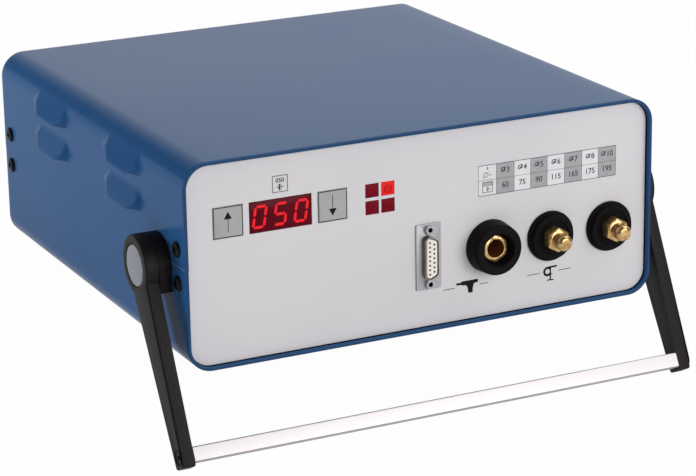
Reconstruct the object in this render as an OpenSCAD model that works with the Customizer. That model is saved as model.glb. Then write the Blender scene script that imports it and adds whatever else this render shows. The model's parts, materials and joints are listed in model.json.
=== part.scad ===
// Portable capacitor-discharge stud welder: bent sheet case, front panel with three weld
// terminals, and a carry handle that also props the front up.
// Case frame: X to the right, Y from the front edge to the back, Z up from the case bottom.

/* [Case] */
// Outer width of the case
case_w = 305; // [298:1:330]
// Outer height of the case
case_h = 123; // [120:1:140]
// Outer depth of the case
case_d = 302; // [300:1:330]
// Thickness of the case sheet
sheet_t = 2; // [1.5:0.1:2.5]
// Outer radius of the long bends
bend_r = 15; // [12:1:16]
// Open seam between the upper and the lower shell
seam_gap = 0.4; // [0.2:0.1:0.8]
// Diameter of the heads of the side screws
screw_head_d = 9.5; // [8:0.5:11]
// Distance of the side screws from the case ends
screw_inset = 11.5; // [10:0.5:14]
// Distance of the side screws from the seam
screw_seam_gap = 10.2; // [8:0.2:13]

/* [Louvres] */
// Length of a louvre's slit
louvre_slit_l = 56; // [50:1:60]
// Length of a louvre's top edge
louvre_top_l = 44; // [38:1:46]
// Length of the straight part of a louvre's lip
louvre_lip_l = 38; // [32:1:42]
// Height of a louvre
louvre_h = 12.5; // [10:0.5:14]
// How far a lip stands out from the side
louvre_proud = 6; // [4:0.5:6.5]
// Distance from the case top to the top of the upper row
louvre_drop = 9.5; // [8:0.5:12]
// Height from one row to the next
louvre_row_pitch = 21.3; // [17:0.1:22]
// Distance from the front to the middle of the front column
louvre_y = 88; // [84:1:96]
// Distance from the front column to the rear one
louvre_col_pitch = 118; // [100:1:130]

/* [Panels] */
// Depth of the panel faces behind the case edges
panel_recess = 3.5; // [2:0.5:5]
// Gap between the panels and the case
panel_gap = 0.5; // [0.3:0.1:0.8]
// Thickness of the front and rear plates
panel_t = 2; // [1.5:0.1:2.5]
// Thickness of the printed front foil
foil_t = 0.4; // [0.3:0.1:0.6]

/* [Handle] */
// Distance of the pivot from the case front
pivot_y = 38; // [36:1:46]
// Height of the seam above the pivot
pivot_drop = 4.5; // [2:0.5:7]
// Radius of the hubs
hub_r = 18; // [17:0.5:19]
// Height of the pivot above the hub bases' flat lower edge
base_drop = 13.2; // [12.8:0.1:15]
// Thickness of the fixed hub bases
base_t = 7.5; // [7.2:0.1:9]
// Thickness of the arms
arm_t = 8; // [7.5:0.5:10]
// Length of the arms from the pivot to the end
arm_len = 119; // [112:1:135]
// Width of the arms at the pivot
arm_root_w = 23.8; // [20:0.2:26]
// Width of the arms at the end
arm_end_w = 11.8; // [11:0.2:14]
// Angle of the arms forward of straight down, as it stands
arm_angle = 28.5; // [20:0.5:40]
// Height of the bar's section, along the arms
bar_h = 9; // [8:0.5:10]
// Depth of the bar's section, across the arms
bar_depth = 9.5; // [8:0.5:10.5]
// Radius of the release buttons
button_r = 12.1; // [11.2:0.1:13]
// Travel of the release buttons
button_travel = 2.5; // [1.5:0.1:2.8]

/* [Feet] */
// Radius of the rubber feet
foot_r = 9; // [8:0.5:10]
// Height of the rubber feet
foot_h = 8; // [6:0.5:12]
// Distance of the feet from the case sides
foot_inset = 26; // [25:1:30]
// Distance of the front feet from the case front
foot_front_inset = 31; // [30:1:36]
// Distance of the rear feet from the case back
foot_end_inset = 27; // [25:1:30]

/* [Front controls] */
// Side of the square keys
key_w = 18.4; // [16:0.2:19]
// Distance from the left case side to the middle of the up key
key_inset = 28; // [26:0.5:32]
// Distance from the up key to the down key
key_pitch = 65.2; // [63:0.2:70]
// Distance from the case top to the middle of the control row
control_drop = 37.4; // [33:0.2:40]
// Travel of the keys
key_travel = 0.4; // [0.2:0.1:0.6]
// Width of the display window
window_w = 38.7; // [34:0.1:41]
// Height of the display window
window_h = 18.3; // [16:0.1:20]
// Distance from the down key to the middle of the indicator lamps
lamp_offset = 30.4; // [27:0.1:33]
// Width of an indicator lamp
lamp_w = 8.3; // [7:0.1:8.6]
// Height of an indicator lamp
lamp_h = 7.9; // [7:0.1:8.6]
// Spacing of the indicator lamps
lamp_pitch = 10.2; // [10:0.1:12]

/* [Terminals] */
// Height of the three weld terminals above the case bottom
terminal_z = 45.5; // [42:0.5:50]
// Spacing of the weld terminals
terminal_pitch = 40.6; // [38:0.2:42]
// Distance from the right case side to the right terminal
terminal_inset = 28; // [27:0.5:32]
// Radius of the gun socket's collar at the panel
gun_collar_r = 16.3; // [15:0.1:17.5]
// Height of the gun socket's collar
gun_collar_h = 11.6; // [9:0.1:14]
// Radius of the gun socket's bore
gun_bore_r = 5.6; // [4:0.1:5.6]
// Radius of the gun socket's brass ring
gun_ring_r = 7.7; // [7.2:0.1:8.2]
// Radius of the ground terminals' collars at the panel
ground_collar_r = 15.4; // [14.5:0.1:17]
// Height of the ground terminals' collars
ground_collar_h = 5.2; // [4.5:0.1:7]
// Radius of the ground pins' tips
pin_r = 4.9; // [4.2:0.1:5.8]
// Length of the ground pins in front of their collars
pin_l = 15; // [14:0.5:18]
// Width across flats of the ground pins' hexagons
pin_hex_af = 13.2; // [12.5:0.1:15]
// Length of the ground pins' hexagons
pin_hex_l = 7.4; // [6:0.2:9]

/* [Remote connector] */
// Distance from the gun socket to the remote connector
dsub_offset = 41.5; // [39:0.1:46]
// Width of the connector's flange
dsub_flange_w = 16.2; // [14:0.2:18]
// Height of the connector's flange
dsub_flange_h = 40.1; // [39:0.1:44]
// Spacing of the connector's two jack posts
jack_pitch = 33.3; // [33:0.1:34]
// Radius of the jack posts' threaded holes
jack_bore_r = 1.42; // [1.2:0.01:1.6]

/* [Power store] */
// Gap between two capacitors
capacitor_gap = 4; // [3:0.5:10]
// Gap between the capacitors and the case side
bank_side_gap = 14.5; // [12:0.5:20]
// Gap between the capacitors and the rear panel
bank_rear_gap = 30.5; // [26:0.5:40]
// Gap between the busbar screws and the case top
bank_top_gap = 12.5; // [8:0.5:25]

/* [Hidden] */

$fn = 64;

// Overrun of every cut past the face it leaves
overrun = 1;
// Clearance of a screw's shank in its hole
shank_gap = 0.2;
// Clearance of a thread in its tapped hole
thread_gap = 0.1;
// Clearance of a piece set in a cut-out
cutout_gap = 0.2;
// Radial clearance of a turning fit
running_gap = 0.05;
// Gap between the handle's turning parts and what stands still
handle_gap = 0.3;

// Colours
blue_paint = [0.29, 0.42, 0.57];
panel_grey = [0.78, 0.77, 0.79];
black_plastic = [0.11, 0.11, 0.12];
key_grey = [0.72, 0.72, 0.74];
alu_light = [0.92, 0.91, 0.92];
zinc = [0.70, 0.71, 0.73];
steel = [0.55, 0.56, 0.58];
brass_gold = [0.80, 0.62, 0.28];
copper = [0.75, 0.44, 0.28];
window_red = [0.35, 0.02, 0.06];
lamp_red = [0.50, 0.03, 0.08];
board_green = [0.10, 0.35, 0.20];
button_grey = [0.66, 0.66, 0.70];
rubber_black = [0.08, 0.08, 0.08];
insulator_white = [0.93, 0.92, 0.90];
can_blue = [0.12, 0.16, 0.30];

// Case: inner sizes and the seam
side_x = case_w / 2;
in_w = case_w - 2 * sheet_t;
in_h = case_h - 2 * sheet_t;
in_r = bend_r - sheet_t;
in_x = in_w / 2;
seam_share = 0.5;
seam_z = case_h * seam_share;
pivot_z = seam_z - pivot_drop;
control_z = case_h - control_drop;

// Panels
face_y = panel_recess;
plate_y = face_y + foil_t;
plate_back_y = plate_y + panel_t;
rear_face_y = case_d - panel_recess;
rear_in_y = rear_face_y - panel_t;
panel_w = in_w - 2 * panel_gap;
panel_h = in_h - 2 * panel_gap;
panel_r = in_r - panel_gap;

// Side screws: button heads and shanks
screw_head_h = 1.9;
screw_shank_r = 2.5;
screw_shank_l = 8;
screw_socket_r = 1.7;
screw_socket_depth = 1.2;
screw_edge_r = 0.9;
screw_ys = [screw_inset, case_d - screw_inset];
screw_zs = [seam_z - screw_seam_gap, seam_z + screw_seam_gap];

// Corner brackets that tie the panels to the shells
bracket_t = 2;
bracket_h = 40;
bracket_side_l = 13;
bracket_panel_l = 9;
stud_r = 2;
stud_l = 7;
nut_gap = 0.1;
stud_nut_r = 4;
stud_nut_h = 3.2;
stud_gap = 0.5;
stud_x = in_x - bracket_t - stud_nut_r - stud_gap;

// Louvre hoods
louvre_wall = 1.2;
louvre_rows = 2;
louvre_cols = 2;
louvre_top_z = case_h - louvre_drop;

// Handle, measured outward from the case side
arm_in = base_t + handle_gap;
arm_out = arm_in + arm_t;
arm_end_r = 2;
bar_end_gap = 2.1;
bar_edge_r = 1;
trunnion_r = 12;
cavity_r = 9;
floor_t = 2.2;
button_face_t = 2.2;
button_stop_gap = 0.1;
button_gap = 0.2;
recess_depth = button_face_t + button_travel + button_stop_gap;
skirt_l = 3.6;
skirt_t = 1.5;
bolt_shoulder_r = 4;
bolt_head_r = 7;
bolt_head_t = 2.5;
bolt_thread_r = 3;
bolt_nut_r = 5.8;
bolt_nut_h = 5;
bolt_end_l = 2;
bolt_key_r = 2.2;
bolt_key_depth = 1.6;
backing_t = 2;
backing_l = 34;
backing_h = 44;
base_screw_across = 13.4;
base_screw_down = 7;
base_screw_r = 1.6;
base_screw_l = 5;
base_screw_head_r = 3.2;
base_screw_head_h = 2.2;
spring_wire_r = 0.5;
spring_mean_r = 5.4;
spring_turns = 4;
spring_end_gap = 0.15;
spring_steps = 16;
spring_sides = 6;
bar_screw_r = 2.2;
bar_screw_l = 14;
bar_head_r = 3.9;
bar_head_h = 3;
bar_head_sink = 0.6;
bar_socket_r = 1.6;

// The arm's half width falls evenly from the pivot to the end
bar_mid_s = arm_len - bar_end_gap - bar_h / 2;
arm_end_s = arm_len - arm_end_r;
function arm_half_w(s) = arm_root_w / 2 + (arm_end_w - arm_root_w) / 2 * s / arm_end_s;
bar_front = arm_half_w(bar_mid_s);
bar_mid_x = bar_depth / 2 - bar_front;

// Feet
foot_edge_r = 2;
foot_top_r = foot_r - foot_edge_r / 2;
foot_sink_r = 5.4;
foot_sink_depth = 4;
foot_screw_r = 2.4;
foot_head_r = 4.6;
foot_head_h = 2.6;
foot_nut_r = 4.6;
foot_nut_h = 4;
foot_screw_end = 1;
foot_x = side_x - foot_inset;
foot_ys = [foot_front_inset, case_d - foot_end_inset];

// How the object stands: on the arm ends and the rear feet, tipped back by the tilt.
// Points are [y, z] in the case frame.
arm_dir = [-sin(arm_angle), -cos(arm_angle)];
arm_side = [cos(arm_angle), -sin(arm_angle)];
pivot = [pivot_y, pivot_z];
arm_heel = pivot + arm_dir * arm_end_s + arm_side * (arm_end_w / 2 - arm_end_r);
arm_toe = pivot + arm_dir * arm_end_s - arm_side * (arm_end_w / 2 - arm_end_r);
foot_heel = [foot_ys[1] + foot_r - foot_edge_r, foot_edge_r - foot_h];
stance = foot_heel - arm_heel;
tilt = atan2(stance[1], stance[0]) - asin((foot_edge_r - arm_end_r) / norm(stance));
function stood_y(p) = p[0] * cos(tilt) + p[1] * sin(tilt);
function stood_z(p) = p[1] * cos(tilt) - p[0] * sin(tilt);
bar_toe = pivot + arm_dir * (arm_len - bar_end_gap - bar_edge_r) - arm_side * (bar_front - bar_edge_r);
front_reach = min(stood_y(arm_toe) - arm_end_r, stood_y(bar_toe) - bar_edge_r);
back_reach = stood_y([case_d, case_h]);
stand_y = -(front_reach + back_reach) / 2;
stand_z = arm_end_r - stood_z(arm_heel);

// Front controls
up_key_x = key_inset - side_x;
down_key_x = up_key_x + key_pitch;
window_x = (up_key_x + down_key_x) / 2;
lamp_x = down_key_x + lamp_offset;
lamp_places = [
  for (i = [-1, 1], k = [-1, 1])
    [lamp_x + i * lamp_pitch / 2, control_z + k * lamp_pitch / 2]
];
key_proud = 0.3;
key_edge_r = 0.6;
flange_over = 1;
flange_t = 1;
lens_flange_over = 0.6;
switch_w = 12;
switch_h = 3.6;
plunger_r = 3;
plunger_gap = 0.2;
key_back_y = plate_back_y + cutout_gap + flange_t;
plunger_y = key_back_y + key_travel + plunger_gap;
plunger_h = 1.4;
board_y = plunger_y + plunger_h + switch_h;
board_t = 1.6;
board_h = 34;
board_over = 16;
board_left = up_key_x - board_over;
board_right = lamp_x + board_over;
standoff_r = 2.5;
standoff_inset = 3;
digit_gap = 0.3;
digit_w = 37;
digit_h = 16;
led_r = 2.5;
led_rim_h = 1;
led_gap = 0.5;

// Terminals
terminal_right_x = side_x - terminal_inset;
ground_left_x = terminal_right_x - terminal_pitch;
gun_x = terminal_right_x - 2 * terminal_pitch;
dsub_x = gun_x - dsub_offset;
neck_r = 10.5;
neck_l = 10;
collar_nut_r = 15;
collar_nut_h = 5;
collar_draft = 0.9;
collar_edge_r = 1.5;
gun_recess = 4.6;
gun_mouth_r = 10.4;
gun_throat_r = 9;
gun_hex_af = 14.6;
gun_hex_l = 2.2;
gun_key_w = 4;
gun_key_depth = 1.3;
gun_bore_l = 20;
insert_back_l = 18;
terminal_stud_r = 4;
terminal_stud_l = 16;
stud_hex_r = 7.5;
stud_hex_h = 6.5;
link_t = 3;
ring_edge_r = 0.6;
ground_rim_h = 2.4;
ground_step = 1.6;
ground_edge_r = 0.9;
ground_dish_r = 10.5;
ground_dish_depth = 0.8;
pin_body_r = 6;
pin_groove_r = 3.9;
pin_groove_l = 1;
pin_tip_share = 0.55;
pin_tip_round = pin_r * pin_tip_share;
pin_chamfer = 1.1;
hex_turn = 30;

// Remote connector
dsub_flange_t = 1.2;
dsub_flange_r = 0.6;
dsub_shell_h = 6;
dsub_shell_t = 0.5;
dsub_shell_gap = 0.6;
dsub_long = 24.2;
dsub_short = 21.8;
dsub_depth_w = 6.8;
dsub_corner_r = 2;
dsub_body_l = 9;
dsub_body_w = 10;
dsub_body_h = 27;
dsub_rows = [8, 7];
contact_pitch = 2.77;
contact_row_pitch = 2.84;
contact_r = 0.55;
contact_depth = 4;
jack_af = 5.2;
jack_h = 2.4;
jack_screw_r = 1.4;
jack_screw_l = 8;
jack_bore_l = 2;
jack_zs = [terminal_z - jack_pitch / 2, terminal_z + jack_pitch / 2];

// Rear fittings
inlet_share = 0.664;
inlet_x = -in_x * inlet_share;
inlet_z = 44;
inlet_flange_w = 34;
inlet_flange_h = 28;
inlet_flange_t = 2.4;
inlet_body_w = 28;
inlet_body_h = 21;
inlet_body_l = 24;
inlet_cavity_w = 24.4;
inlet_cavity_h = 17;
inlet_cavity_depth = 17;
inlet_corner_r = 2;
inlet_pin_w = 2;
inlet_pin_h = 4;
inlet_pin_l = 11;
inlet_pin_spread = 7;
inlet_pin_drop = 2;
inlet_tab_l = 8;
switch_pitch = 48;
switch_x = inlet_x + switch_pitch;
rocker_w = 16;
rocker_h = 22;
rocker_throw = 20;
rocker_lift = 2.4;
rocker_end_lift = 4.4;
rocker_depth = 6;
rocker_foot_h = 14;
rocker_axle_r = 1.5;
rocker_axle_l = 1.4;
rocker_gap = 0.4;
rocker_swing_gap = 1.6;
switch_wall = 2.4;
switch_flange_over = 3;
switch_flange_t = 1.8;
switch_body_l = 22;
switch_cavity_depth = 10;
switch_tab_w = 6;
switch_tab_t = 0.8;
switch_tab_l = 8;
switch_tab_pitch = 12;

// Inside: tray and what stands on it
tray_t = 1.5;
tray_side_gap = 14.5;
tray_half_w = in_x - tray_side_gap;
tray_front_y = 18;
tray_end_gap = 8;
floor_z = sheet_t + tray_t;
core_share = 0.532;
core_rear_gap = 71.5;
core_x = -in_x * core_share;
core_y = rear_in_y - core_rear_gap;
core_w = 96;
core_h = 80;
core_leg = 16;
core_stack = 40;
core_window_w = 16;
winding_gap = 0.3;
winding_over = 14;
winding_clear = 0.5;
strap_t = 2;
strap_h = 14;
strap_foot_l = 14;
strap_bolt_r = 2.5;
capacitor_cols = 2;
capacitor_rows = 3;
terminal_boss_r = 5;
terminal_boss_h = 4;
terminal_boss_spread = 13;
capacitor_edge_r = 2;
holder_h = 10;
holder_gap = 0.3;
holder_over = 2;
bar_strip_w = 16;
busbar_t = 2.5;
bus_screw_r = 2.8;
bus_screw_l = 9;
bus_head_r = 5;
bus_head_h = 3.5;
sink_side_gap = 22.5;
sink_bank_inset = 8;
sink_y = 46;
sink_d = 36;
sink_h = 40;
sink_base_t = 6;
sink_fins = 9;
sink_fin_t = 2.4;
module_inset = 4;
module_d = 34;
module_h = 28;
module_lid_inset = 2;
link_w = 20;
riser_gap = 6;
riser_w = 14;
control_side_gap = 20.5;
control_share = 0.585;
control_core_gap = 21;
control_y = 62;
control_lift = 12;
chip_h = 6;
relay_h = 15;
resistor_core_gap = 8;
resistor_bank_gap = 12;
resistor_y = 150;
resistor_l = 75;
resistor_h = 26;
resistor_fins = 5;
resistor_fin_depth = 4;
tray_back_y = rear_in_y - tray_end_gap;

// The capacitors fill the right half behind the heatsink, each in the middle of its cell
bank_share = 0.133;
bank_front_gap = 8;
bank_left = in_x * bank_share;
bank_front = sink_y + sink_d + bank_front_gap;
cell_w = (in_x - bank_side_gap - bank_left + capacitor_gap) / capacitor_cols;
cell_d = (rear_in_y - bank_rear_gap - bank_front + capacitor_gap) / capacitor_rows;
capacitor_r = (min(cell_w, cell_d) - capacitor_gap) / 2;
capacitor_x = bank_left + (cell_w - capacitor_gap) / 2;
capacitor_y = bank_front + (cell_d - capacitor_gap) / 2;
bus_stack_h = terminal_boss_h + busbar_t + bus_head_h;
capacitor_h = case_h - sheet_t - bank_top_gap - bus_stack_h - floor_z;
sink_x = bank_left + sink_bank_inset;
sink_w = in_x - sink_side_gap - sink_x;
module_w = sink_w - 2 * module_inset;
riser_y = capacitor_y - capacitor_r - riser_gap;
control_x = control_side_gap - in_x;
control_w = in_x * control_share;
control_d = core_y - core_stack / 2 - winding_over - control_core_gap - control_y;
resistor_x = core_x + core_w / 2 + resistor_core_gap;
resistor_w = bank_left - holder_over - resistor_bank_gap - resistor_x;
bus_z = floor_z + capacitor_h + terminal_boss_h;
module_top_z = floor_z + sink_h + module_h;
capacitor_places = [
  for (i = [0 : capacitor_cols - 1], k = [0 : capacitor_rows - 1])
    [capacitor_x + i * cell_w, capacitor_y + k * cell_d]
];
boss_offsets = [-terminal_boss_spread, terminal_boss_spread];
stud_seat_y = plate_back_y + insert_back_l;

// Helpers
module stand() {
  translate([0, stand_y, stand_z]) rotate([-tilt, 0, 0]) children();
}

module both_sides() {
  children();
  mirror([1, 0, 0]) children();
}

// Extrudes an XZ outline backwards from y0
module along_y(y0, l) {
  translate([0, y0 + l, 0]) rotate([90, 0, 0]) linear_extrude(l) children();
}

// Extrudes a YZ outline to the right from x0
module along_x(x0, l) {
  translate([x0, 0, 0]) rotate([90, 0, 90]) linear_extrude(l) children();
}

// A cylinder along Y from y0 backwards
module rod_y(x, y0, z, r, l) {
  translate([x, y0 + l, z]) rotate([90, 0, 0]) cylinder(h = l, r = r);
}

// A cylinder along X from x0 to the right
module rod_x(x0, y, z, r, l) {
  translate([x0, y, z]) rotate([0, 90, 0]) cylinder(h = l, r = r);
}

// Turns a profile of [radius, height] about an axis that leaves the front panel
module turned_front(x, z) {
  translate([x, face_y, z]) rotate([90, 0, 0]) rotate_extrude() children();
}

// A hexagonal prism along Y from y0 backwards, r across its corners
module hex_y(x, y0, z, r, l, turn = 0) {
  translate([x, y0 + l, z]) rotate([90, 0, 0]) rotate(turn) cylinder(h = l, r = r, $fn = 6);
}

module rounded_rect(w, h, r) {
  square([w - 2 * r, h], center = true);
  square([w, h - 2 * r], center = true);
  for (i = [-1, 1], k = [-1, 1])
    translate([i * (w / 2 - r), k * (h / 2 - r)]) circle(r);
}

module box(x0, y0, z0, w, d, h) {
  translate([x0, y0, z0]) cube([w, d, h]);
}

function hex_r(af) = af / sqrt(3);

// Case shells

module sheet_ring() {
  translate([0, case_h / 2]) difference() {
    rounded_rect(case_w, case_h, bend_r);
    rounded_rect(in_w, in_h, in_r);
  }
}

// A louvre's hood as a six-cornered wedge: top edge and slit in the side, lip standing out
module louvre_wedge(top_l, slit_l, lip_l, x_in, x_out, z_low, z_high) {
  corners = [
    [x_in, -top_l / 2, z_high], [x_in, top_l / 2, z_high],
    [x_in, -slit_l / 2, z_low], [x_in, slit_l / 2, z_low],
    [x_out, -lip_l / 2, z_low], [x_out, lip_l / 2, z_low]
  ];
  polyhedron(corners, [
    [0, 1, 5], [0, 5, 4], [0, 4, 2], [1, 3, 5], [0, 2, 3], [0, 3, 1], [2, 4, 5], [2, 5, 3]
  ]);
}

module louvre_places() {
  for (c = [0 : louvre_cols - 1], r = [0 : louvre_rows - 1])
    translate([side_x, louvre_y + c * louvre_col_pitch, louvre_top_z - r * louvre_row_pitch - louvre_h])
      children();
}

module louvre_hood() {
  louvre_wedge(louvre_top_l, louvre_slit_l, louvre_lip_l, -sheet_t, louvre_proud, 0, louvre_h);
}

module louvre_void() {
  louvre_wedge(
    louvre_top_l - 2 * louvre_wall, louvre_slit_l - 2 * louvre_wall, louvre_lip_l - 2 * louvre_wall,
    -sheet_t - overrun, louvre_proud - louvre_wall, -overrun, louvre_h - louvre_wall);
}

module side_screw_places() {
  for (y = screw_ys, z = screw_zs) translate([side_x, y, z]) children();
}

module side_holes() {
  side_screw_places() rod_x(-sheet_t - overrun, 0, 0, screw_shank_r + shank_gap, sheet_t + 2 * overrun);
}

module half_shell(z0, h) {
  along_y(0, case_d) intersection() {
    sheet_ring();
    translate([-case_w / 2, z0]) square([case_w, h]);
  }
}

module upper_shell() {
  color(blue_paint) stand() difference() {
    union() {
      half_shell(seam_z + seam_gap / 2, case_h);
      both_sides() louvre_places() louvre_hood();
    }
    both_sides() louvre_places() louvre_void();
    both_sides() side_holes();
  }
}

module lower_shell() {
  color(blue_paint) stand() difference() {
    half_shell(0, seam_z - seam_gap / 2);
    both_sides() side_holes();
    both_sides() translate([side_x, pivot_y, pivot_z]) {
      rod_x(-sheet_t - overrun, 0, 0, bolt_thread_r + shank_gap, sheet_t + 2 * overrun);
      base_screw_places() rod_x(-sheet_t - overrun, 0, 0, base_screw_r + shank_gap, sheet_t + 2 * overrun);
    }
    foot_places() translate([0, 0, -overrun]) cylinder(h = sheet_t + 2 * overrun, r = foot_screw_r + shank_gap);
  }
}

// Panels

module panel_outline() {
  translate([0, case_h / 2]) rounded_rect(panel_w, panel_h, panel_r);
}

module front_cutouts(gap) {
  for (x = [up_key_x, down_key_x])
    translate([x, control_z]) square(key_w + 2 * gap, center = true);
  translate([window_x, control_z]) square([window_w + 2 * gap, window_h + 2 * gap], center = true);
  for (p = lamp_places)
    translate(p) square([lamp_w + 2 * gap, lamp_h + 2 * gap], center = true);
  translate([dsub_x, terminal_z]) square([dsub_body_w + 2 * gap, dsub_body_h + 2 * gap], center = true);
  for (z = jack_zs)
    translate([dsub_x, z]) circle(jack_screw_r + gap);
  for (x = [gun_x, ground_left_x, terminal_right_x])
    translate([x, terminal_z]) circle(neck_r + gap);
}

module stud_places(y) {
  both_sides() translate([stud_x, y, seam_z]) children();
}

module front_plate() {
  color(alu_light) stand() {
    along_y(plate_y, panel_t) difference() {
      panel_outline();
      front_cutouts(cutout_gap);
    }
    stud_places(plate_back_y) rod_y(0, 0, 0, stud_r, stud_l);
  }
}

module front_foil() {
  color(panel_grey) stand() along_y(face_y, foil_t) difference() {
    panel_outline();
    front_cutouts(cutout_gap);
  }
}

module rear_panel() {
  color(blue_paint) stand() {
    along_y(rear_in_y, panel_t) difference() {
      panel_outline();
      translate([inlet_x, inlet_z])
        square([inlet_body_w + 2 * cutout_gap, inlet_body_h + 2 * cutout_gap], center = true);
      translate([switch_x, inlet_z])
        square([switch_body_w() + 2 * cutout_gap, switch_body_h() + 2 * cutout_gap], center = true);
    }
    stud_places(rear_in_y - stud_l) rod_y(0, 0, 0, stud_r, stud_l);
  }
}

// An angle at the right: one leg on the case side, one on a panel whose back is at y0;
// dir is 1 where the bracket lies behind the panel and -1 where it lies in front
module bracket(y0, dir) {
  side_y = dir > 0 ? y0 : y0 - bracket_side_l;
  leg_y = dir > 0 ? y0 : y0 - bracket_t;
  z0 = seam_z - bracket_h / 2;
  hole_y = dir > 0 ? screw_ys[0] : screw_ys[1];
  difference() {
    union() {
      box(in_x - bracket_t, side_y, z0, bracket_t, bracket_side_l, bracket_h);
      box(in_x - bracket_panel_l, leg_y, z0, bracket_panel_l, bracket_t, bracket_h);
    }
    for (z = screw_zs)
      rod_x(in_x - bracket_t - overrun, hole_y, z, screw_shank_r + thread_gap, bracket_t + 2 * overrun);
    rod_y(stud_x, leg_y - overrun, seam_z, stud_r + shank_gap, bracket_t + 2 * overrun);
  }
}

module front_brackets() {
  color(zinc) stand() both_sides() bracket(plate_back_y, 1);
}

module rear_brackets() {
  color(zinc) stand() both_sides() bracket(rear_in_y, -1);
}

module case_screws() {
  color(black_plastic) stand() both_sides() side_screw_places() rotate([0, 90, 0]) difference() {
    rotate_extrude() {
      translate([0, -screw_shank_l]) square([screw_shank_r, screw_shank_l]);
      square([screw_head_d / 2 - screw_edge_r, screw_head_h]);
      square([screw_head_d / 2, screw_head_h - screw_edge_r]);
      translate([screw_head_d / 2 - screw_edge_r, screw_head_h - screw_edge_r]) circle(screw_edge_r);
    }
    translate([0, 0, screw_head_h - screw_socket_depth])
      cylinder(h = screw_socket_depth + overrun, r = screw_socket_r, $fn = 6);
  }
}

module panel_nuts() {
  color(zinc) stand() {
    stud_places(plate_back_y + bracket_t) stud_nut();
    stud_places(rear_in_y - bracket_t - stud_nut_h) stud_nut();
  }
}

module stud_nut() {
  difference() {
    hex_y(0, 0, 0, stud_nut_r, stud_nut_h);
    rod_y(0, -overrun, 0, stud_r + nut_gap, stud_nut_h + 2 * overrun);
  }
}

module foot_places() {
  both_sides() for (y = foot_ys) translate([foot_x, y, 0]) children();
}

module rubber_feet() {
  color(rubber_black) stand() foot_places() rotate([180, 0, 0]) difference() {
    rotate_extrude() {
      polygon([[0, 0], [foot_top_r, 0], [foot_r, foot_h - foot_edge_r], [0, foot_h - foot_edge_r]]);
      square([foot_r - foot_edge_r, foot_h]);
      translate([foot_r - foot_edge_r, foot_h - foot_edge_r]) circle(foot_edge_r);
    }
    translate([0, 0, -overrun]) cylinder(h = foot_h + 2 * overrun, r = foot_screw_r + shank_gap);
    translate([0, 0, foot_h - foot_sink_depth]) cylinder(h = foot_sink_depth + overrun, r = foot_sink_r);
  }
}

module foot_screws() {
  nut_z = floor_z;
  shank_l = foot_h - foot_sink_depth + nut_z + foot_nut_h + foot_screw_end;
  color(steel) stand() foot_places() {
    translate([0, 0, foot_sink_depth - foot_h]) {
      cylinder(h = shank_l, r = foot_screw_r);
      translate([0, 0, -foot_head_h]) cylinder(h = foot_head_h, r = foot_head_r);
    }
    translate([0, 0, nut_z]) difference() {
      cylinder(h = foot_nut_h, r = foot_nut_r, $fn = 6);
      translate([0, 0, -overrun]) cylinder(h = foot_nut_h + 2 * overrun, r = foot_screw_r + nut_gap);
    }
  }
}

// Handle, drawn on the right and mirrored for the left

module at_pivot() {
  translate([side_x, pivot_y, pivot_z]) children();
}

module base_screw_places() {
  for (i = [-1, 1]) translate([0, i * base_screw_across, -base_screw_down]) children();
}

module hub_base() {
  difference() {
    along_x(0, base_t) difference() {
      union() {
        circle(hub_r);
        translate([-hub_r, -base_drop]) square([2 * hub_r, base_drop]);
      }
      translate([-hub_r - overrun, -base_drop - hub_r]) square([2 * (hub_r + overrun), hub_r]);
      circle(trunnion_r + running_gap);
    }
    base_screw_places() rod_x(-overrun, 0, 0, base_screw_r + thread_gap, base_screw_l + overrun + thread_gap);
  }
}

module hub_base_right() {
  color(black_plastic) stand() at_pivot() hub_base();
}

module hub_base_left() {
  color(black_plastic) stand() mirror([1, 0, 0]) at_pivot() hub_base();
}

module base_screws() {
  head_x = -sheet_t - backing_t;
  color(steel) stand() both_sides() at_pivot() base_screw_places() {
    rod_x(head_x, 0, 0, base_screw_r, base_screw_l - head_x);
    rod_x(head_x - base_screw_head_h, 0, 0, base_screw_head_r, base_screw_head_h);
  }
}

module backing_plates() {
  color(zinc) stand() both_sides() at_pivot() difference() {
    along_x(-sheet_t - backing_t, backing_t) square([backing_l, backing_h], center = true);
    rod_x(-sheet_t - backing_t - overrun, 0, 0, bolt_thread_r + shank_gap, backing_t + 2 * overrun);
    base_screw_places()
      rod_x(-sheet_t - backing_t - overrun, 0, 0, base_screw_r + shank_gap, backing_t + 2 * overrun);
  }
}

module pivot_bolts() {
  shoulder_l = handle_gap + floor_t + button_stop_gap;
  nut_x = -sheet_t - backing_t - bolt_nut_h;
  color(zinc) stand() both_sides() at_pivot() {
    difference() {
      union() {
        rod_x(0, 0, 0, bolt_shoulder_r, shoulder_l);
        rod_x(shoulder_l, 0, 0, bolt_head_r, bolt_head_t);
        rod_x(nut_x - bolt_end_l, 0, 0, bolt_thread_r, bolt_end_l - nut_x);
      }
      translate([shoulder_l + bolt_head_t - bolt_key_depth, 0, 0]) rotate([0, 90, 0])
        cylinder(h = bolt_key_depth + overrun, r = bolt_key_r, $fn = 6);
    }
    difference() {
      translate([nut_x, 0, 0]) rotate([0, 90, 0]) cylinder(h = bolt_nut_h, r = bolt_nut_r, $fn = 6);
      rod_x(nut_x - overrun, 0, 0, bolt_thread_r + nut_gap, bolt_nut_h + 2 * overrun);
    }
  }
}

// The arm's outline about the pivot, hanging straight down with its front at the left
module arm_outline() {
  half_end = arm_end_w / 2;
  circle(hub_r);
  polygon([
    [-arm_root_w / 2, 0], [arm_root_w / 2, 0], [half_end, -arm_end_s],
    [half_end - arm_end_r, -arm_len], [arm_end_r - half_end, -arm_len], [-half_end, -arm_end_s]
  ]);
  for (i = [-1, 1]) translate([i * (half_end - arm_end_r), -arm_end_s]) circle(arm_end_r);
}

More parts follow.
